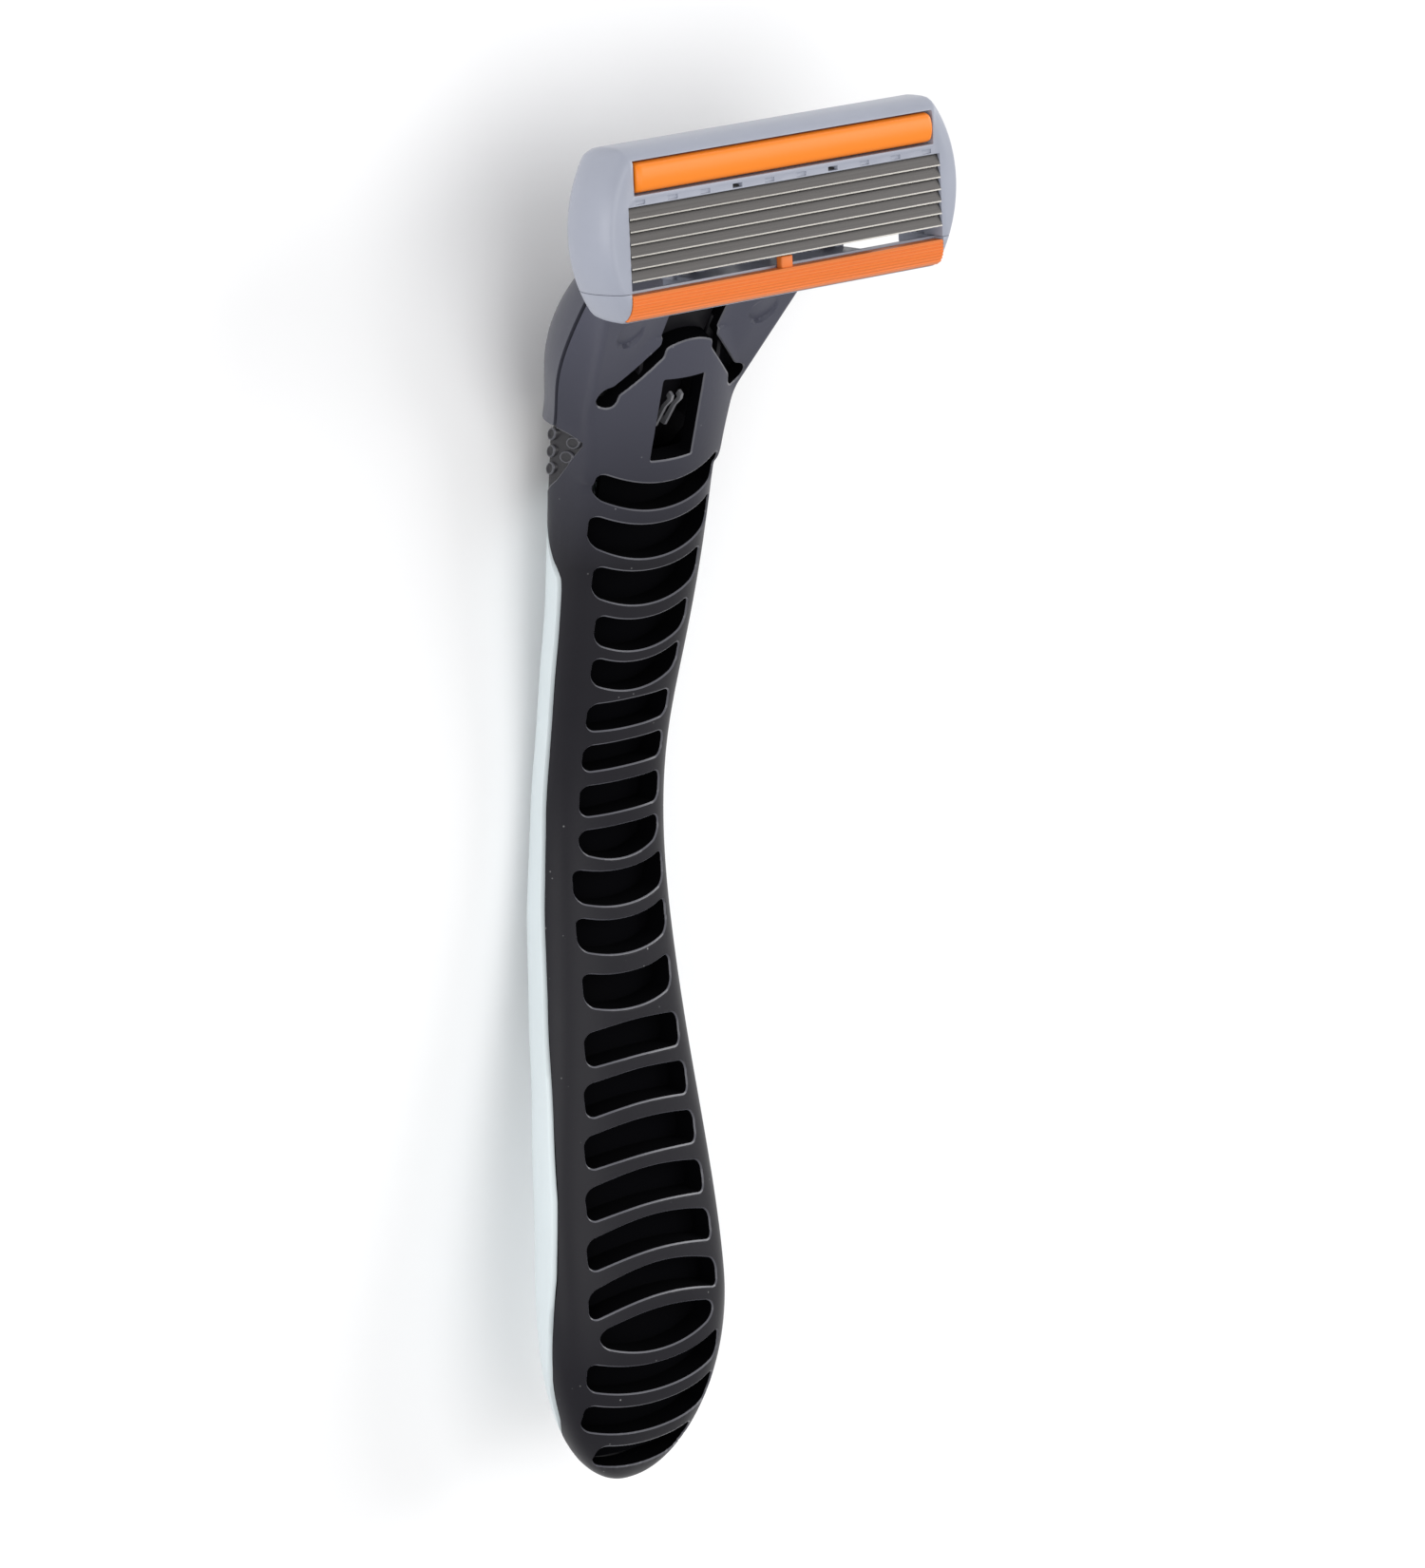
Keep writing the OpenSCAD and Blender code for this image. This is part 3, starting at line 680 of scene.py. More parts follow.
def pierced_skin(points, fields, spacing, lip=0.13):
    """Cuts openings into a grid of points. fields lists (distance, wall direction, depth). The grid is
    clipped exactly on each outline, a narrow lip slopes in from it, and walls run inwards.
    Returns points, faces and, per face, 0 for skin, 1 for wall and 2 for lip."""
    rows, cols = points.shape[:2]
    p = points.reshape(-1, 3).copy()
    d, _ = nearest_field(fields, p)
    near = np.abs(d) < 0.25 * spacing
    p[near] = onto_outline(fields, p[near])
    d[near] = 0
    faces, added = clip_faces(grid_faces(rows, cols), d, p)
    added = onto_outline(fields, added)
    on_outline = np.concatenate([d == 0, np.ones(len(added), bool)])
    p = np.concatenate([p, added])
    sides = (side for face in faces for side in zip(face, face[1:] + face[:1]))
    edges = {(a, b) for a, b in sides if on_outline[a] and on_outline[b]}
    rim = np.array([(a, b) for a, b in edges if (b, a) not in edges])
    rim_points = np.unique(rim)
    rp = p[rim_points]
    _, which = nearest_field(fields, rp)
    direction, inward = np.zeros_like(rp), np.zeros_like(rp)
    depth = np.zeros(len(rp))
    for k, (field, wall, deep) in enumerate(fields):
        mine = which == k
        if mine.any():
            g = gradient(field, rp[mine])
            inward[mine] = -g / np.maximum(np.linalg.norm(g, axis=1, keepdims=True), 0.3)
            direction[mine] = wall(rp[mine])
            depth[mine] = deep
    edge = rp + (direction + inward) * lip * np.minimum(depth, 1)[:, None]
    lower = edge + direction * depth[:, None]
    n, m = len(p), len(rim_points)
    index = np.full(n, -1)
    index[rim_points] = n + np.arange(m)
    a, b = rim[:, 0], rim[:, 1]
    lips = np.stack([b, a, index[a], index[b]], 1)
    walls = np.stack([index[b], index[a], index[a] + m, index[b] + m], 1)
    kinds = np.repeat([0, 2, 1], [len(faces), len(lips), len(walls)])
    return np.concatenate([p, edge, lower]), faces + lips.tolist() + walls.tolist(), kinds


def down(q):
    """Into the grip, but no deeper than most of its thickness there."""
    w, t, mid = grip_sizes(q[:, 1])
    room = 0.85 * (q[:, 2] - mid + t * dome(q[:, 0] / w))
    reach = np.clip(room / POCKET_DEPTH, 0.1, 1)
    return reach[:, None] * np.array([0, 0, -1])


def into_neck(q):
    return np.tile(NECK.direction([0, 0, -1]), (len(q), 1))


def sideways(q):
    return np.stack([-np.sign(q[:, 0]), np.zeros(len(q)), np.zeros(len(q))], 1)


STEP = 0.16


def handle_skin():
    """The charcoal front skin, from the tail over the grip and the neck to the fork's end."""
    # the grip's rows turn into the neck's between y_join and y_neck
    y_join, y_neck, u_last = 31.0, 37.0, -24.25
    y = np.concatenate([
        TAIL_END + (1 - np.cos(np.linspace(0, math.pi / 2, int(5 / STEP)))) * 5,
        np.arange(TAIL_END + 5 + STEP, y_neck, STEP),
    ])
    f = np.linspace(-1, 1, int(30 / STEP))
    rows = []
    for row in y:
        p = grip_section(np.full(f.shape, row), f)
        w = smooth(y_join, y_neck, row)
        if w > 0:
            u = u_last - (y_neck - row) * 1.02
            p = p * (1 - w) + NECK(neck_section(np.full(f.shape, u), f)) * w
        rows.append(p)
    for u in np.arange(u_last + STEP, FORK_END, STEP):
        rows.append(NECK(neck_section(np.full(f.shape, u), f)))
    end = neck_section(np.full(f.shape, FORK_END), f)
    for drop in (0.0, 0.35, 1.0):
        lip = end.copy()
        lip[:, 2] = np.maximum(lip[:, 2] - 0.15 - drop * 1.6, SEAM)
        rows.append(NECK(lip))
    skin = np.stack(rows)
    # the edge along the parting line turns inwards, which gives the skin its thickness
    inner = skin[:, [0, -1]].copy()
    inner[..., 0] *= np.maximum(1 - 0.9 / np.maximum(np.abs(inner[..., 0]), 0.9), 0)
    return np.concatenate([inner[:, :1], skin, inner[:, 1:]], 1)


def build_handle():
    skin = handle_skin()
    # a shallow round mark on each arm
    local = NECK.back(skin.reshape(-1, 3))
    r = np.hypot(np.abs(local[:, 0]) - 7.7, local[:, 1] + 10.1)
    lean = 0.5 - 0.5 * (local[:, 1] + 10.1) / 1.45
    local[:, 2] -= 0.42 * smooth(1.5, 1.36, r) * lean * (local[:, 2] > 1)
    skin = NECK(local).reshape(skin.shape)
    fields = [
        (pocket_distance, down, POCKET_DEPTH),
        (neck_distance, into_neck, 1.5),
        (notch_distance, sideways, 1.0),
    ]
    points, faces, wall = pierced_skin(skin, fields, STEP)
    # the walls take the near-black painted shade and the lips the lighter painted highlight
    looks = [dark_plastic, painted_pocket_shade, painted_lip_highlight]
    obj = mesh_object("handle_frame_skin", points, faces, looks, ROW, wall, 40)
    ship(obj, "handle", "handle_frame")
    build_pocket_floor()
    build_fork_tips()


def build_pocket_floor():
    """Floor under the pockets, near black as painted shade in the recesses; it narrows beside the button's
    notch.
    """
    y = np.arange(-61.0, 33.6, 1.0)
    f = np.linspace(-1, 1, 31)
    w, t, mid = grip_sizes(y)
    half = np.where(y > 28.5, np.minimum(w - 0.7, 5.1), w - 0.7)
    x = f[None, :] * half[:, None]
    skin = t[:, None] * dome(x / w[:, None])
    z = mid[:, None] + np.maximum(skin - np.minimum(POCKET_DEPTH, t * 0.8)[:, None], -0.3 * skin)
    points = np.stack([x, np.broadcast_to(y[:, None], x.shape), z], -1)
    thick = points.copy()
    thick[..., 2] -= 0.4
    n = points.shape[0] * points.shape[1]
    top = grid_faces(*points.shape[:2])
    faces = np.concatenate([top, top[:, ::-1] + n])
    points = np.concatenate([points.reshape(-1, 3), thick.reshape(-1, 3)])
    obj = mesh_object("pocket_floor", points, faces, [painted_pocket_shade])
    ship(obj, "handle", "handle_frame")


def build_fork_tips():
    """Fork tips with their eyes, and the round journals that the cartridge snaps onto."""
    eye = arc((0, 0), 2.2, 96, -120, 15)
    outline = eye + [(-2.6, -1.0), (-4.2, 0.25), (-4.2, PLATE_TOP - 0.02), (FORK_END, PLATE_TOP - 0.02)]
    tips = mesh_object("fork_tips", *prisms(*both_sides(outline[::-1], 8.05, 10.75)), [neck_plastic], NECK)
    ship(bevel(tips, 0.22, 3), "handle", "handle_frame")
    pins = both_sides(arc((0, 0), 1.2, 0, 345, 24), 7.2, 11.6)
    journals = mesh_object("journals", *prisms(*pins), [neck_plastic], NECK)
    ship(bevel(journals, 0.12, 2), "handle", "handle_frame")


def build_spine():
    """The pale cover along the back, flat where the razor rests."""
    y = np.concatenate([
        SPINE_REAR + (1 - np.cos(np.linspace(0, math.pi / 2, 24))) * 4,
        np.arange(SPINE_REAR + 4.4, SPINE_FRONT - 2, 0.5),
        SPINE_FRONT - 2 + np.linspace(0, 1, 12) * 2,
    ])
    f = np.linspace(-1, 1, 72)
    gap = 0.26 / np.maximum(grip_sizes(y)[1], 1)
    half = np.maximum(parting_angle(y) + math.pi / 2 - gap, 0.01)
    angle = -math.pi / 2 + f[None, :] * half[:, None]
    p = grip_point(np.broadcast_to(y[:, None], angle.shape), angle)
    centre = np.stack([np.zeros_like(y), y, grip_sizes(y)[2]], -1)[:, None, :]
    # the edges roll inwards, which leaves a fine groove along the frame
    roll = np.maximum(smooth(0.97, 1.0, np.abs(f))[None, :] * 0.3, 0) + 0.02
    out = p - centre
    length = np.linalg.norm(out, axis=-1, keepdims=True)
    p = centre + out * (1 - roll[..., None] / np.maximum(length, 0.5))
    # faint broad facets
    p[..., 2] += 0.05 * np.sin(p[..., 1] * 0.55 + p[..., 0] * 0.35)
    p[..., 2] = np.maximum(p[..., 2], 0)
    faces = grid_faces(*p.shape[:2])[:, ::-1]
    obj = mesh_object("back_spine_cover", p.reshape(-1, 3), faces, [pale_plastic])
    ship(obj, "handle", "back_spine")


def build_rear_shell():
    """The deep shell behind the fork, with a rounded rim and a real wall."""
    u = np.linspace(SHELL[0][0], SHELL[-1][0], 90)[:, None]
    half, deep = shell_size(u, 1), shell_size(u, 2)
    a = np.linspace(0, math.pi, 80)
    cos, sin = power(np.cos(a)), power(np.sin(a))
    side_wall, back_wall, rim_rise = 1.6, 1.0, np.array([0, 0, 0.12])
    outer = np.stack([half * cos, u + 0 * cos, SHELL_RIM - deep * sin], -1)
    inner = np.stack([(half - side_wall) * cos, u + 0 * cos, SHELL_RIM - (deep - back_wall) * sin], -1)
    # cross-section loop: outer from one rim to the other, then back along the inside
    rim_a = (outer[:, :1] + inner[:, :1]) / 2 + rim_rise
    rim_b = (outer[:, -1:] + inner[:, -1:]) / 2 + rim_rise
    loop = np.concatenate([outer, rim_b, inner[:, ::-1], rim_a], 1)
    rows, cols = loop.shape[:2]
    faces = [tuple(q) for q in grid_faces(rows, cols, True)]
    k = outer.shape[1]
    for r, flip in ((0, True), (rows - 1, False)):
        for j in range(k - 1):
            quad = (r * cols + j, r * cols + j + 1, r * cols + cols - 2 - (j + 1), r * cols + cols - 2 - j)
            faces.append(quad[::-1] if flip else quad)
    obj = mesh_object("rear_shell", loop.reshape(-1, 3), faces, [neck_plastic], NECK)
    cut(obj, boxes(((-20, 5, -20), (20, SHELL_LOW_END, 40))))
    # room that the pressed button slides into
    gap = 0.3
    cut(obj, lengthwise(button_section(gap), -32, ROOM_TOP, BUTTON_NECK_BOTTOM - gap), NECK)
    obj.data.polygons.foreach_set("use_smooth", np.ones(len(obj.data.polygons), bool))
    obj.data.set_sharp_from_angle(angle=math.radians(40))
    ship(obj, "handle", "rear_neck_shell")


# ---------------------------------------------------------------- button

# Side outlines (y, z) of the button and of the webs that follow it under the handle's skin
BUTTON = [
    (30.2, 1.0), (35.1, 0.9), (37.0, 1.8), (37.1, 2.8), (35.8, 8.4), (31.9, 5.2), (30.2, 3.0), (29.5, 1.8),
]
WEB = [
    (28.1, 1.9), (31.4, 1.6), (33.5, 5.8), (36.3, 8.2), (35.0, 9.3), (33.3, 7.6), (31.9, 6.5), (30.2, 6.2),
    (28.9, 4.6),
]
BUTTON_HALF = 6.7
# Bottom of the button's section in the row's frame and in the neck's, and where the shell makes way for it
BUTTON_BOTTOM, BUTTON_NECK_BOTTOM = 0.85, -4.35
ROOM_TOP, SHELL_LOW_END = -22.05, 37.45
OVAL_SIDES = 28


def button_section(grow=0.0):
    """Cross-section of the button, as an outline (x, height) with round lower corners."""
    w, r = BUTTON_HALF + grow, 3 + grow
    right = [(w, 14)] + arc((w - r, r), r, 0, -90, 10)
    return right + [(-x, h) for x, h in right[::-1]]


def build_button():
    """Thumb button: a rounded cup with raised ovals on its back and flanks."""
    body = mesh_object("release_button_body", *prisms((BUTTON, -BUTTON_HALF, BUTTON_HALF)), [grain_black])
    for place, bottom in ((ROW, BUTTON_BOTTOM), (NECK, BUTTON_NECK_BOTTOM)):
        cut(body, lengthwise(button_section(), -40, 50, bottom), place, "INTERSECT")
    bevel(body, 0.4, 3, 35)
    hollow = [(31.2, 2.4), (40, 2.9), (40, 12), (34, 7.8)]
    cut(body, prisms((hollow, -5.3, 5.3)))
    ship(body, "release", "release_button")
    carrier = [(33.8, 1.5), (37.0, 1.95), (37.88, 3.36), (36.61, 5.96), (33.92, 4.65), (33.6, 2.0)]
    carrier = mesh_object("button_carrier", *prisms((carrier, -2.2, 2.2)), [black_plastic])
    ship(carrier, "release", "release_button")
    webs = mesh_object("button_webs", *prisms(*both_sides(WEB, 4.9, 5.25)), [black_plastic])
    ship(webs, "release", "release_button")
    ovals = []
    for side in (-1, 1):
        for y in (35.2, 33.6, 32.0):
            ovals.append(oval((side * 6.5, y, 2.85), (side * 0.94, 0, -0.34), 1.05, 0.55, 0.22))
        for y, z in ((35.2, 6.0), (33.7, 5.2)):
            ovals.append(oval((side * BUTTON_HALF, y, z), (side, 0, 0), 1.0, 0.55, 0.22))
    for x in (-2.6, 0, 2.6):
        for y in (32.2, 34.0):
            ovals.append(oval((x, y, 0.95), (0, 0, -1), 1.1, 0.6, 0.3))
    points, faces = joined(*ovals)
    # the second and third ring of each oval take the lighter colour as a painted highlight
    per_oval = 5 * OVAL_SIDES + 1
    slots = [int(OVAL_SIDES <= k % per_oval < 3 * OVAL_SIDES) for k in range(len(faces))]
    obj = mesh_object("button_ovals", points, faces, [grain_black, painted_lip_highlight], ROW, slots)
    ship(obj, "release", "release_button")


def oval(centre, normal, long, short, height):
    """A raised oval ring with a filled middle."""
    normal = Vector(normal).normalized()
    along = Vector((1, 0.3, 1))
    along = (along - normal * along.dot(normal)).normalized()
    across = normal.cross(along)
    profile = [(1.15, -1.1), (1.0, 0.5), (0.9, 1.0), (0.75, 1.0), (0.62, 0.55), (0.3, 0.5)]
    n = OVAL_SIDES
    points = []
    for scale, lift in profile:
        for t in np.linspace(0, 2 * math.pi, n, endpoint=False):
            p = Vector(centre) + along * long * scale * math.cos(t) + across * short * scale * math.sin(t)
            points.append(tuple(p + normal * height * lift))
    faces = [tuple(q) for q in grid_faces(len(profile), n, True)]
    faces.append(tuple(range((len(profile) - 1) * n, len(profile) * n)))
    return points, faces


def build_neck_ribs():
    """Guide block with a black rib on each side, and the ejector with its bent tongues and prongs."""
    rib = [(-22.2, 4.0), (-16.0, 2.6), (-13.2, 1.5), (-13.2, -2.8), (-22.6, -2.4)]
    obj = mesh_object("guide_ribs", *prisms(*both_sides(rib, 4.3, 4.7)), [black_plastic], NECK)
    recalc(obj)
    ship(obj, "handle", "guide_block")
    solid = ((-3, -16.5, -2.9), (3, -8.5, -0.55)), ((-4.7, -15.5, -2.9), (4.7, -11, -0.55))
    ears = [((side * 3.9 - 0.8, -15.5, -2.9), (side * 3.9 + 0.8, -11, 0.95)) for side in (-1, 1)]
    block = mesh_object("guide_block_body", *boxes(*solid, *ears), [black_plastic], NECK)
    ship(bevel(block, 0.15, 2), "handle", "guide_block")
    bent = [
        (-22.0, 0.7), (-21.4, 3.0), (-19.0, 3.15), (-18.0, 3.5), (-17.5, 3.4), (-17.4, 2.9), (-17.9, 2.8),
        (-18.1, 3.1), (-19.0, 2.8), (-20.9, 2.6), (-21.4, 0.7),
    ]
    tongues = [(bent[::-1], x, x + 0.3) for x in (-0.7, 0.4)]
    # the tongues are grey as a painted highlight
    obj = mesh_object("ejector_tongues", *prisms(*tongues), [painted_tongue_highlight], NECK)
    recalc(obj)
    ship(obj, "release", "ejector_slide")
    body = mesh_object("ejector_plate", *boxes(((-3, -26.2, -0.4), (3, -5.8, 0.8))), [black_plastic], NECK)
    prongs = [(-3, -6.2, -0.4), (-1.9, 0.2, 0.8)], [(1.9, -6.2, -0.4), (3, 0.2, 0.8)]
    arms = mesh_object("ejector_prongs", *boxes(*prongs), [black_plastic], NECK)
    for part in (body, arms):
        ship(bevel(part, 0.15, 2), "release", "ejector_slide")


# ---------------------------------------------------------------- cartridge

# Radius of the round ends, half width and half height of the block, and the depth of its rounding
END_R = 12.3
HALF_W = 21.0
HALF_H = 7.58
ROLL = 1.6
# Rounding of the block from the front face to the back face: inset and height, at its ends,
# at the cap side and at the guard side
END_PROFILE = [
    (1.45, 0.0), (1.15, -0.08), (0.85, -0.32), (0.6, -0.75), (0.36, -1.3), (0.14, -2.1),
    (0, -3.0), (0.05, -3.8), (0.2, -4.6), (0.5, -5.25), (0.9, -5.65), (1.45, -5.8),
]
CAP_PROFILE = [
    (1.3, 0.0), (0.95, -0.18), (0.6, -0.42), (0.3, -0.8), (0.08, -1.3), (0, -2.0),
    (0, -2.9), (0.04, -3.7), (0.2, -4.5), (0.55, -5.2), (0.95, -5.6), (1.5, -5.8),
]
GUARD_PROFILE = [
    (1.3, 0.0), (0.95, -0.12), (0.6, -0.35), (0.3, -0.7), (0.08, -1.2), (0, -1.8),
    (0.02, -2.6), (0.08, -3.4), (0.2, -4.2), (0.5, -4.9), (0.95, -5.5), (1.5, -5.8),
]


def head_outline():
    """Points and normals of the block's outline, before its rounding."""
    r = END_R - ROLL
    cx = HALF_W - END_R
    cy = HALF_H - ROLL
    corner = math.asin(cy / r)

    def quadrant(sx, sy):
        """The end's arc, and then its corner, where only the normal turns."""
        turns = [(a, a) for a in np.linspace(0, corner, 14)]
        turns += [(corner, a) for a in np.linspace(corner, math.pi / 2, 9)[1:]]
        ends = [(sx * (cx + r * math.cos(at)), sy * r * math.sin(at)) for at, _ in turns]
        return [(*end, math.atan2(sy * math.sin(a), sx * math.cos(a))) for end, (_, a) in zip(ends, turns)]

    first = quadrant(1, 1)
    second = quadrant(-1, 1)[::-1]
    third = quadrant(-1, -1)[1:]
    fourth = quadrant(1, -1)[::-1][:-1]
    x_end = first[-1][0]
    top = [(x, cy, math.pi / 2) for x in np.linspace(x_end, -x_end, 30)[1:-1]]
    low = [(x, -cy, -math.pi / 2) for x in np.linspace(-x_end, x_end, 30)[1:-1]]
    outline = first + top + second + third + low + fourth
    return np.array([q[:2] for q in outline]), np.array([(math.cos(q[2]), math.sin(q[2])) for q in outline])


def head_block():
    """Closed rounded block of the whole cartridge, in the head's frame."""
    base, normal = head_outline()
    ends = smooth(0.15, 0.75, np.abs(normal[:, 0]))[:, None]
    cap = (normal[:, 1] > 0)[:, None]
    points = []
    for k in range(len(END_PROFILE)):
        side = np.where(cap, np.array(CAP_PROFILE[k]), np.array(GUARD_PROFILE[k]))
        inset_z = side * (1 - ends) + np.array(END_PROFILE[k]) * ends
        xy = base + normal * (ROLL - inset_z[:, :1])
        points.append(np.concatenate([xy, inset_z[:, 1:]], 1))
    rows, cols = len(points), len(base)
    faces = [tuple(q[::-1]) for q in grid_faces(rows, cols, True)]
    faces.append(tuple(range(cols)))
    faces.append(tuple(range(rows * cols - 1, (rows - 1) * cols - 1, -1)))
    return np.concatenate(points), faces


# Where the cover ends and the base starts, and the sizes of the blade window, the strip's pocket, the
# snap-in lugs and the place (y, z) of the pivot
PARTING = -4.8
WINDOW_X, WINDOW_TOP = 18.0, 2.6
STRIP_X, STRIP_Y = 17.0, (3.7, 6.3)
LUG_IN, LUG_OUT, LUG_WALL = 6.9, 11.9, 0.95
PIVOT = (-1.5, -8.8)


def build_cover():
    """Cover: the block with the blade window, the room behind it, the strip's pocket and the marks."""
    obj = mesh_object("cartridge_cover_body", *head_block(), [head_plastic], HEAD)
    holes = [
        ((-30, -20, -12), (30, PARTING, 12)),
        ((-WINDOW_X, -12, -3.2), (WINDOW_X, WINDOW_TOP, 12)),
        ((-18.7, -12, -12), (18.7, 6.0, -2.4)),
        ((-STRIP_X - 0.3, STRIP_Y[0] - 0.2, -1.4), (STRIP_X + 0.3, STRIP_Y[1] + 0.2, 12)),
    ]
    for hole in holes:
        cut(obj, boxes(hole), HEAD)
    marks = []
    for k, x in enumerate(np.linspace(-17.2, 15.9, 10)):
        deep = -1.2 if k in (3, 6) else -0.16
        marks.append(((x, WINDOW_TOP + 0.12, deep), (x + 1.1, WINDOW_TOP + 0.5, 3)))
    cut(obj, boxes(*marks), HEAD)
    bevel(obj, 0.1, 2, 45)
    ship(obj, "cartridge", "cartridge_cover")


def build_base():
    """Base: the guard's bar, the platform behind the blades, the snap-in lugs, the heel and the pads."""
    bar = mesh_object("guard_bar", *head_block(), [head_plastic], HEAD)
    cut(bar, boxes(((-30, PARTING - 0.05, -12), (30, 20, 12))), HEAD)
    cut(bar, boxes(((-WINDOW_X - 0.05, -7.4, -1.2), (WINDOW_X + 0.05, -3, 12))), HEAD)
    for x0, x1 in ((-18.0, -9.6), (9.6, 18.0)):
        cut(bar, boxes(((x0, -6.6, -12), (x1, 0, -1.5))), HEAD)
    bevel(bar, 0.1, 2, 45)
    ship(bar, "cartridge", "cartridge_base")
    parts = []
    # platform rails and cross ribs behind the blades
    for y0, y1, x in ((-5.2, -4.95, 9.4), (0.4, 1.6, 18.6), (4.2, 5.9, 18.6)):
        parts.append(((-x, y0, -5.75), (x, y1, -4.0)))
    for x in (-12.2, -9.4, -6.6, 0, 6.6, 9.4, 12.2):
        w = 1.3 if x == 0 else 0.5
        front = -5.2 if abs(x) < 9.5 else -3.4
        parts.append(((x - w, front, -5.7), (x + w, 5.9, -4.0)))
    for x in (-17, -11.4, -7.4, 0, 7.4, 11.4, 17):
        parts.append(((x - 0.5, -4.3, -4.2), (x + 0.5, 2.8, -2.3)))
    ribs = mesh_object("platform", *boxes(*parts), [head_plastic], HEAD)
    ship(bevel(ribs, 0.12, 2), "cartridge", "cartridge_base")
    # each lug is a hook with a bore r and a mouth that the journal snaps through
    lugs = []
    r = 1.26
    start = math.degrees(math.asin(0.78))
    hook = arc(PIVOT, 2.4, -90 + 24.5, 0, 10) + [(PIVOT[0] + 2.4, -5.7), (PIVOT[0] - 2.4, -5.7)]
    hook += arc(PIVOT, 2.4, 180, 270 - 24.5, 10)
    hook += arc(PIVOT, r, 270 - start, -90 + start, 22)
    for x in (LUG_IN, LUG_OUT - LUG_WALL):
        lugs += both_sides(hook, x, x + LUG_WALL)
    obj = mesh_object("snap_lugs", *prisms(*lugs), [head_plastic], HEAD)
    ship(bevel(obj, 0.12, 2), "cartridge", "cartridge_base")
    heel = arc((1.13, -8.23), 0.8, -180, 0, 13) + [(1.93, -5.7), (0.33, -5.7)]
    obj = mesh_object("heel", *prisms((heel, -1.3, 1.3)), [head_plastic], HEAD)
    ship(bevel(obj, 0.12, 2), "cartridge", "cartridge_base")
    pad = arc(PIVOT, 2.95, 80, 20, 12)[::-1] + [(1.9, -5.7), (-1.0, -5.7)]
    obj = mesh_object("push_pads", *prisms(*both_sides(pad, 1.8, 3.1)), [head_plastic], HEAD)
    ship(obj, "cartridge", "cartridge_base")


def build_strip():
    """Lubricating strip: a crowned bar with softly rounded ends."""
    nx, ny = 140, 26
    x = np.linspace(-1, 1, nx)
    x = np.sign(x) * (1 - (1 - np.abs(x)) ** 1.6) * STRIP_X
    t = np.linspace(-1, 1, ny)
    mid, half = (STRIP_Y[0] + STRIP_Y[1]) / 2, (STRIP_Y[1] - STRIP_Y[0]) / 2
    end = np.clip((STRIP_X - np.abs(x)) / 0.45, 0, 1)
    rounding = 1 - np.sqrt(1 - (1 - end) ** 2)
    x, rounding = x[:, None], rounding[:, None]
    z = 0.42 - 0.30 * t ** 2 - 0.5 * np.abs(t) ** 10 - rounding * 0.5
    bow = 0.1 * (1 - t ** 2) * smooth(STRIP_X - 2, STRIP_X, np.abs(x)) * np.sign(x)
    top = np.stack([x + bow, mid + half * t + 0 * x, z], -1)
    low = top.copy()
    low[..., 2] = -1.35
    n = nx * ny
    g = grid_faces(nx, ny)
    faces = [tuple(q) for q in g[:, ::-1]] + [tuple(q + n) for q in g]
    edge = [i * ny for i in range(nx)] + [(nx - 1) * ny + j for j in range(1, ny)]
    edge += [i * ny + ny - 1 for i in range(nx - 2, -1, -1)] + [j for j in range(ny - 2, 0, -1)]
    for a, b in zip(edge, edge[1:] + edge[:1]):
        faces.append((a, b, b + n, a + n))
    points = np.concatenate([top.reshape(-1, 3), low.reshape(-1, 3)])
    obj = mesh_object("lubricating_strip_body", points, faces, [strip_orange], HEAD)
    recalc(obj)
    ship(obj, "cartridge", "lubricating_strip")


def build_guard():
    """Soft guard: fine ribs run along it, with a small tab at its middle."""
    ribs = 7
    outline = [(-7.3, -1.15), (-7.33, -0.8)]
    y0, y1 = -7.15, -5.1
    for k in range(ribs):
        for t, lift in ((0.08, 0.0), (0.3, 0.09), (0.6, 0.09), (0.9, 0.0)):
            y = y0 + (y1 - y0) * (k + t) / ribs
            fall = -0.55 * max(0.0, (-5.9 - y) / 1.3) ** 2
            outline.append((y, fall + lift))
    outline += [(-5.05, -0.05), (-5.05, -1.15)]
    x = WINDOW_X - 0.02
    obj = mesh_object("guard_strip_body", *prisms((outline[::-1], -x, x)), [guard_orange], HEAD, sharp=25)
    recalc(obj)
    ship(obj, "cartridge", "guard_strip")
    tab = mesh_object("guard_tab", *boxes(((-0.65, -5.2, -1.1), (0.65, -4.0, -0.3))), [guard_orange], HEAD)
    ship(bevel(tab, 0.15, 3), "cartridge", "guard_strip")


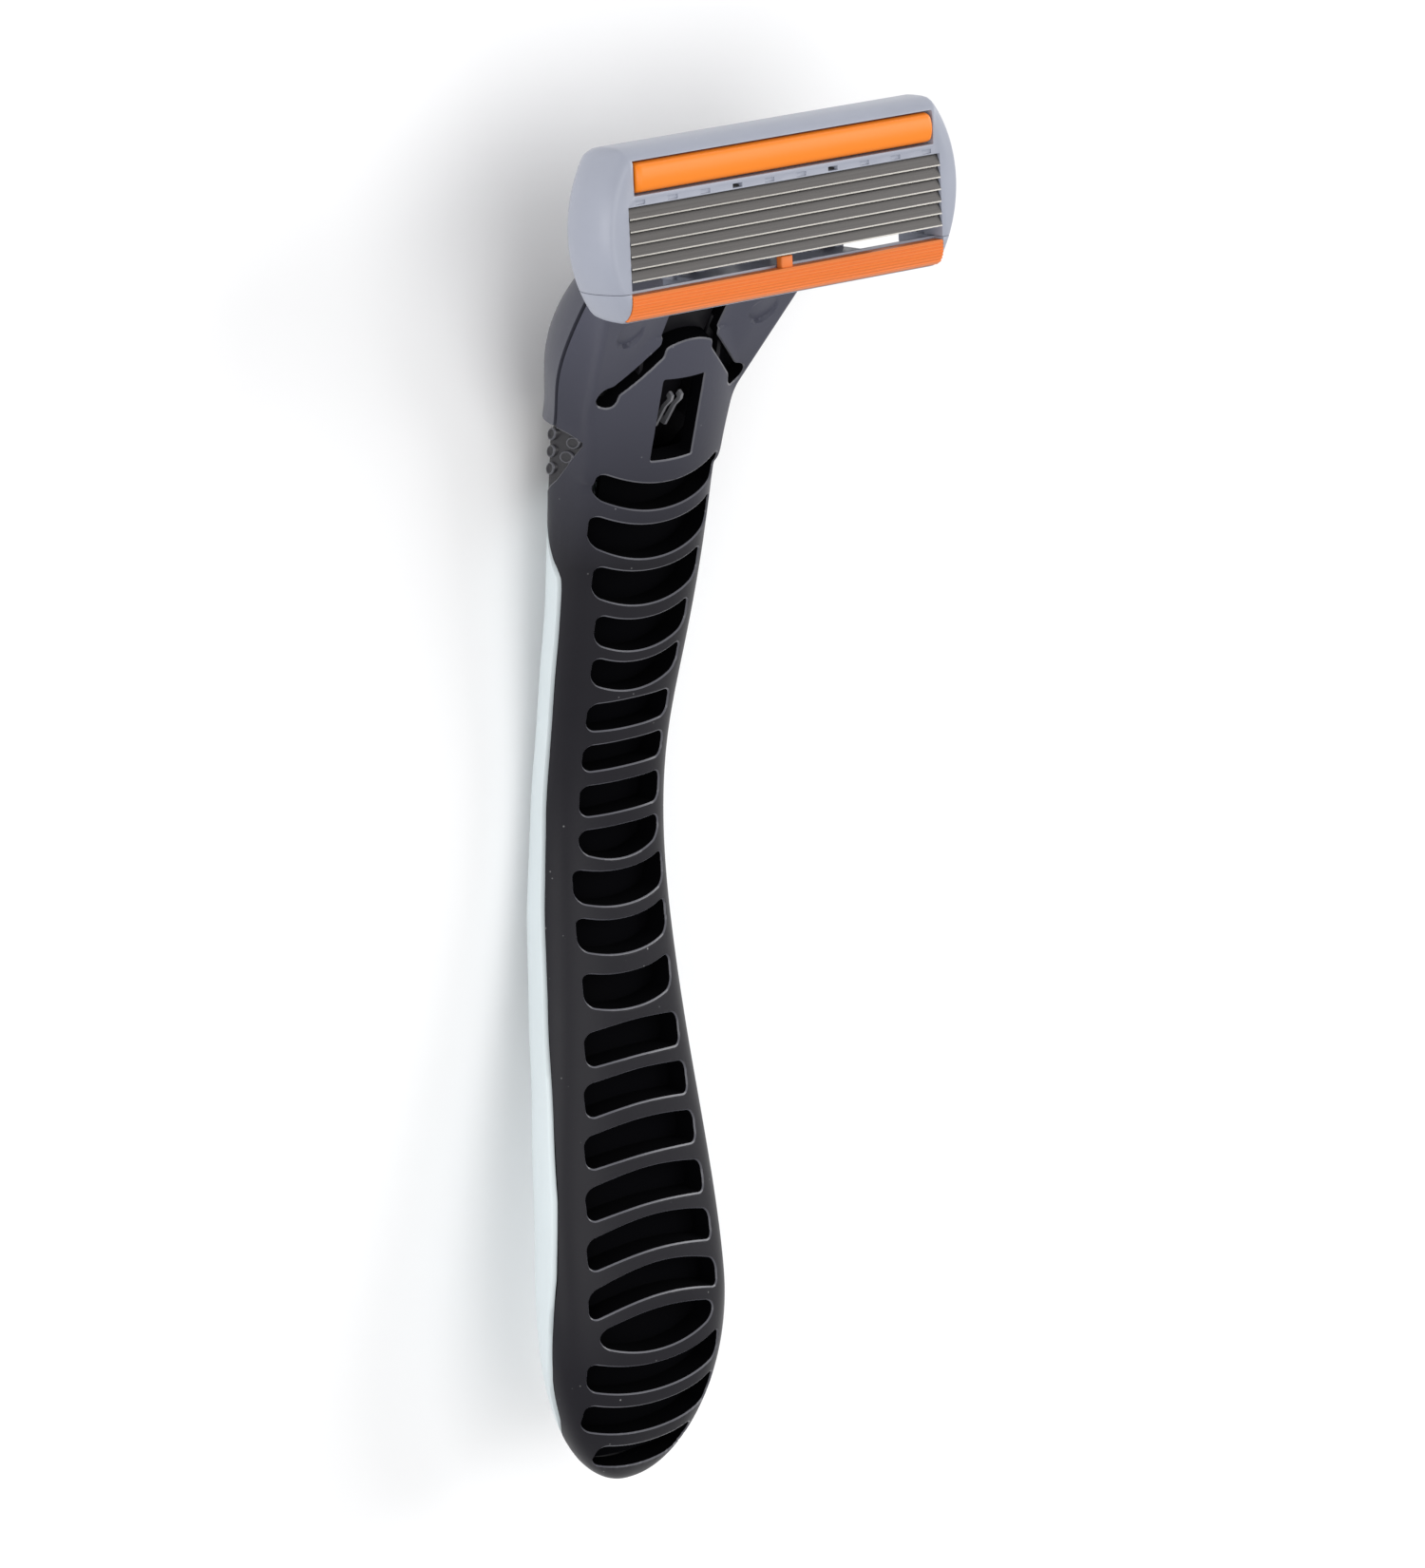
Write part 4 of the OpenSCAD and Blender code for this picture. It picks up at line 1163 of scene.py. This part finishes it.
def build_blades():
    """Bent blades: a ground bright edge, the sharpened strip, the bend and the leg."""
    slope = math.radians(22)
    length, thick, pitch, first = 1.45, 0.12, 1.07, 1.5
    along = np.array([math.cos(slope), -math.sin(slope)])
    normal = np.array([math.sin(slope), math.cos(slope)])
    for k in range(6):
        tip = np.array([first - k * pitch, 0.08])
        ground = tip + along * 0.32
        bend = tip + along * length
        top = [tip, tip + along * 0.12, ground, tip + along * 0.8, bend - along * 0.1]
        turn = [bend + np.array([0.04, -0.05]), bend + np.array([0.06, -0.14])]
        leg = [bend + np.array([x, -1.7]) for x in (0.06, 0.06 - thick)]
        under = [
            bend + np.array([0.06 - thick, -0.2]), bend - along * 0.15 - normal * thick,
            ground - normal * thick * 0.95,
        ]
        outline = top + turn + leg + under
        x = np.linspace(-WINDOW_X + 0.05, WINDOW_X - 0.05, 30)
        n = len(outline)
        points = [(xx, p[0], p[1]) for xx in x for p in outline]
        faces, slots = [], []
        for i in range(len(x) - 1):
            for j in range(n):
                a, b = i * n + j, i * n + (j + 1) % n
                faces.append((a, b, b + n, a + n))
                slots.append(1 if j in (0, n - 1) else 0)
        faces += [tuple(range(n)), tuple(range(len(points) - 1, len(points) - n - 1, -1))]
        slots += [0, 0]
        obj = mesh_object(f"blade_{k + 1}_strip", points, faces, [blade_steel, edge_steel], HEAD, slots, 20)
        recalc(obj)
        ship(obj, "cartridge", f"blade_{k + 1}")


# ---------------------------------------------------------------- springs and plunger

def coil(name, radius, start, end, turns, m):
    """Round-wire spring along the neck; its outer radius is given, and the wire is 0.4 thick."""
    wire, sides, per_turn = 0.2, 12, 28
    a = np.linspace(0, 2 * math.pi * turns, turns * per_turn + 1)[:, None]
    b = np.linspace(0, 2 * math.pi, sides, endpoint=False)[None, :]
    q = radius - wire + wire * np.cos(b)
    u = start + wire + (end - start - 2 * wire) * a / a[-1] + wire * np.sin(b)
    points = np.stack([q * np.cos(a), u, m + q * np.sin(a)], -1)
    rows = len(a)
    faces = [tuple(f) for f in grid_faces(rows, sides, True)]
    faces += [tuple(range(sides)), tuple(range(rows * sides - 1, (rows - 1) * sides - 1, -1))]
    obj = mesh_object(name, points.reshape(-1, 3), faces, [spring_steel], NECK)
    recalc(obj)
    return obj


def build_springs():
    """Both springs, as round-wire coils along the neck on the handle."""
    for name, node, joint, radius, start, end, turns, m, fixed in (
        ("button_coil", "button_spring", "release_slide", 1.1, -23.2, -16.5, 6, -1.9, -16.5),
        ("plunger_coil", "plunger_spring", "plunger_slide", 0.85, -15.3, -11.3, 4, -1.5, -15.3),
    ):
        obj = coil(name, radius, start, end, turns, m)
        ship(obj, "handle", node)
        anchor = tuple(NECK([0, fixed, m]) * MM)
        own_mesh(obj)


def refine_cad():
    """The plunger keeps its CAD shape, with rounded edges and its own material."""
    obj = frame["nodes"]["pivot_plunger"]
    obj.data.materials.clear()
    obj.data.materials.append(black_plastic)
    weld = obj.modifiers.new("weld", "WELD")
    weld.merge_threshold = 1e-6
    edge = obj.modifiers.new("bevel", "BEVEL")
    edge.width = 0.12 * MM
    edge.segments = 2
    edge.limit_method = "ANGLE"
    edge.angle_limit = math.radians(40)


# ---------------------------------------------------------------- studio

def build_stage():
    size = 3.0
    points = [(-size, -size, 0), (size, -size, 0), (size, size, 0), (-size, size, 0)]
    m, nodes, links, shader = material("floor_paint")
    coord = nodes.new("ShaderNodeTexCoord").outputs["Object"]
    clouds = noise(nodes, links, coord, 6, 3)
    paint = ramp(nodes, links, clouds, (0.3, (0.93, 0.93, 0.935)), (0.7, (0.96, 0.96, 0.965)))
    links.new(paint, shader.inputs["Base Color"])
    shader.inputs["Roughness"].default_value = 0.8
    floor = mesh_object("floor", np.array(points) / MM, [(0, 1, 2, 3)], [m])
    floor.location.z = -0.0001


def area_light(name, place, target, size, power_w, colour=(1, 1, 1)):
    data = bpy.data.lights.new(name, "AREA")
    data.shape = "RECTANGLE"
    data.size, data.size_y = size
    data.energy = power_w
    data.color = colour
    obj = bpy.data.objects.new(name, data)
    obj.location = place
    obj.rotation_euler = (Vector(target) - Vector(place)).to_track_quat("-Z", "Y").to_euler()
    bpy.context.scene.collection.objects.link(obj)


def build_lights():
    middle = (0, 0.01, 0.01)
    area_light("right", (0.85, 0.35, 0.45), middle, (0.5, 0.9), 5.0)
    area_light("left", (-0.95, 0.1, 0.4), middle, (0.5, 0.9), 4.0)
    area_light("top", (-0.1, 0.2, 1.2), middle, (1.0, 1.0), 5.5)
    world = bpy.data.worlds.new("studio")
    world.use_nodes = True
    world.node_tree.nodes["Background"].inputs["Color"].default_value = (1, 1, 1, 1)
    world.node_tree.nodes["Background"].inputs["Strength"].default_value = 0.56
    bpy.context.scene.world = world


def build_camera():
    """Camera at the viewing angle: above the left side, looking down past the head."""
    eye = Vector((-0.4578, 0.2404, 0.5254))
    forward = Vector((0.6343, -0.3251, -0.7015)).normalized()
    up = Vector((0.1796, 0.9445, -0.2752))
    right = forward.cross(up).normalized()
    up = right.cross(forward).normalized()
    data = bpy.data.cameras.new("camera")
    data.lens = 186.0
    data.sensor_width = 36.0
    data.clip_start, data.clip_end = 0.05, 10
    obj = bpy.data.objects.new("camera", data)
    turn = Matrix((right, up, -forward)).transposed().to_4x4()
    obj.matrix_world = Matrix.Translation(eye) @ turn
    bpy.context.scene.collection.objects.link(obj)
    bpy.context.scene.camera = obj


build_handle()
build_spine()
build_rear_shell()
build_button()
build_neck_ribs()
build_cover()
build_base()
build_strip()
build_guard()
build_blades()
build_springs()
refine_cad()
build_stage()
build_lights()
build_camera()
bpy.context.scene.view_settings.view_transform = "Standard"
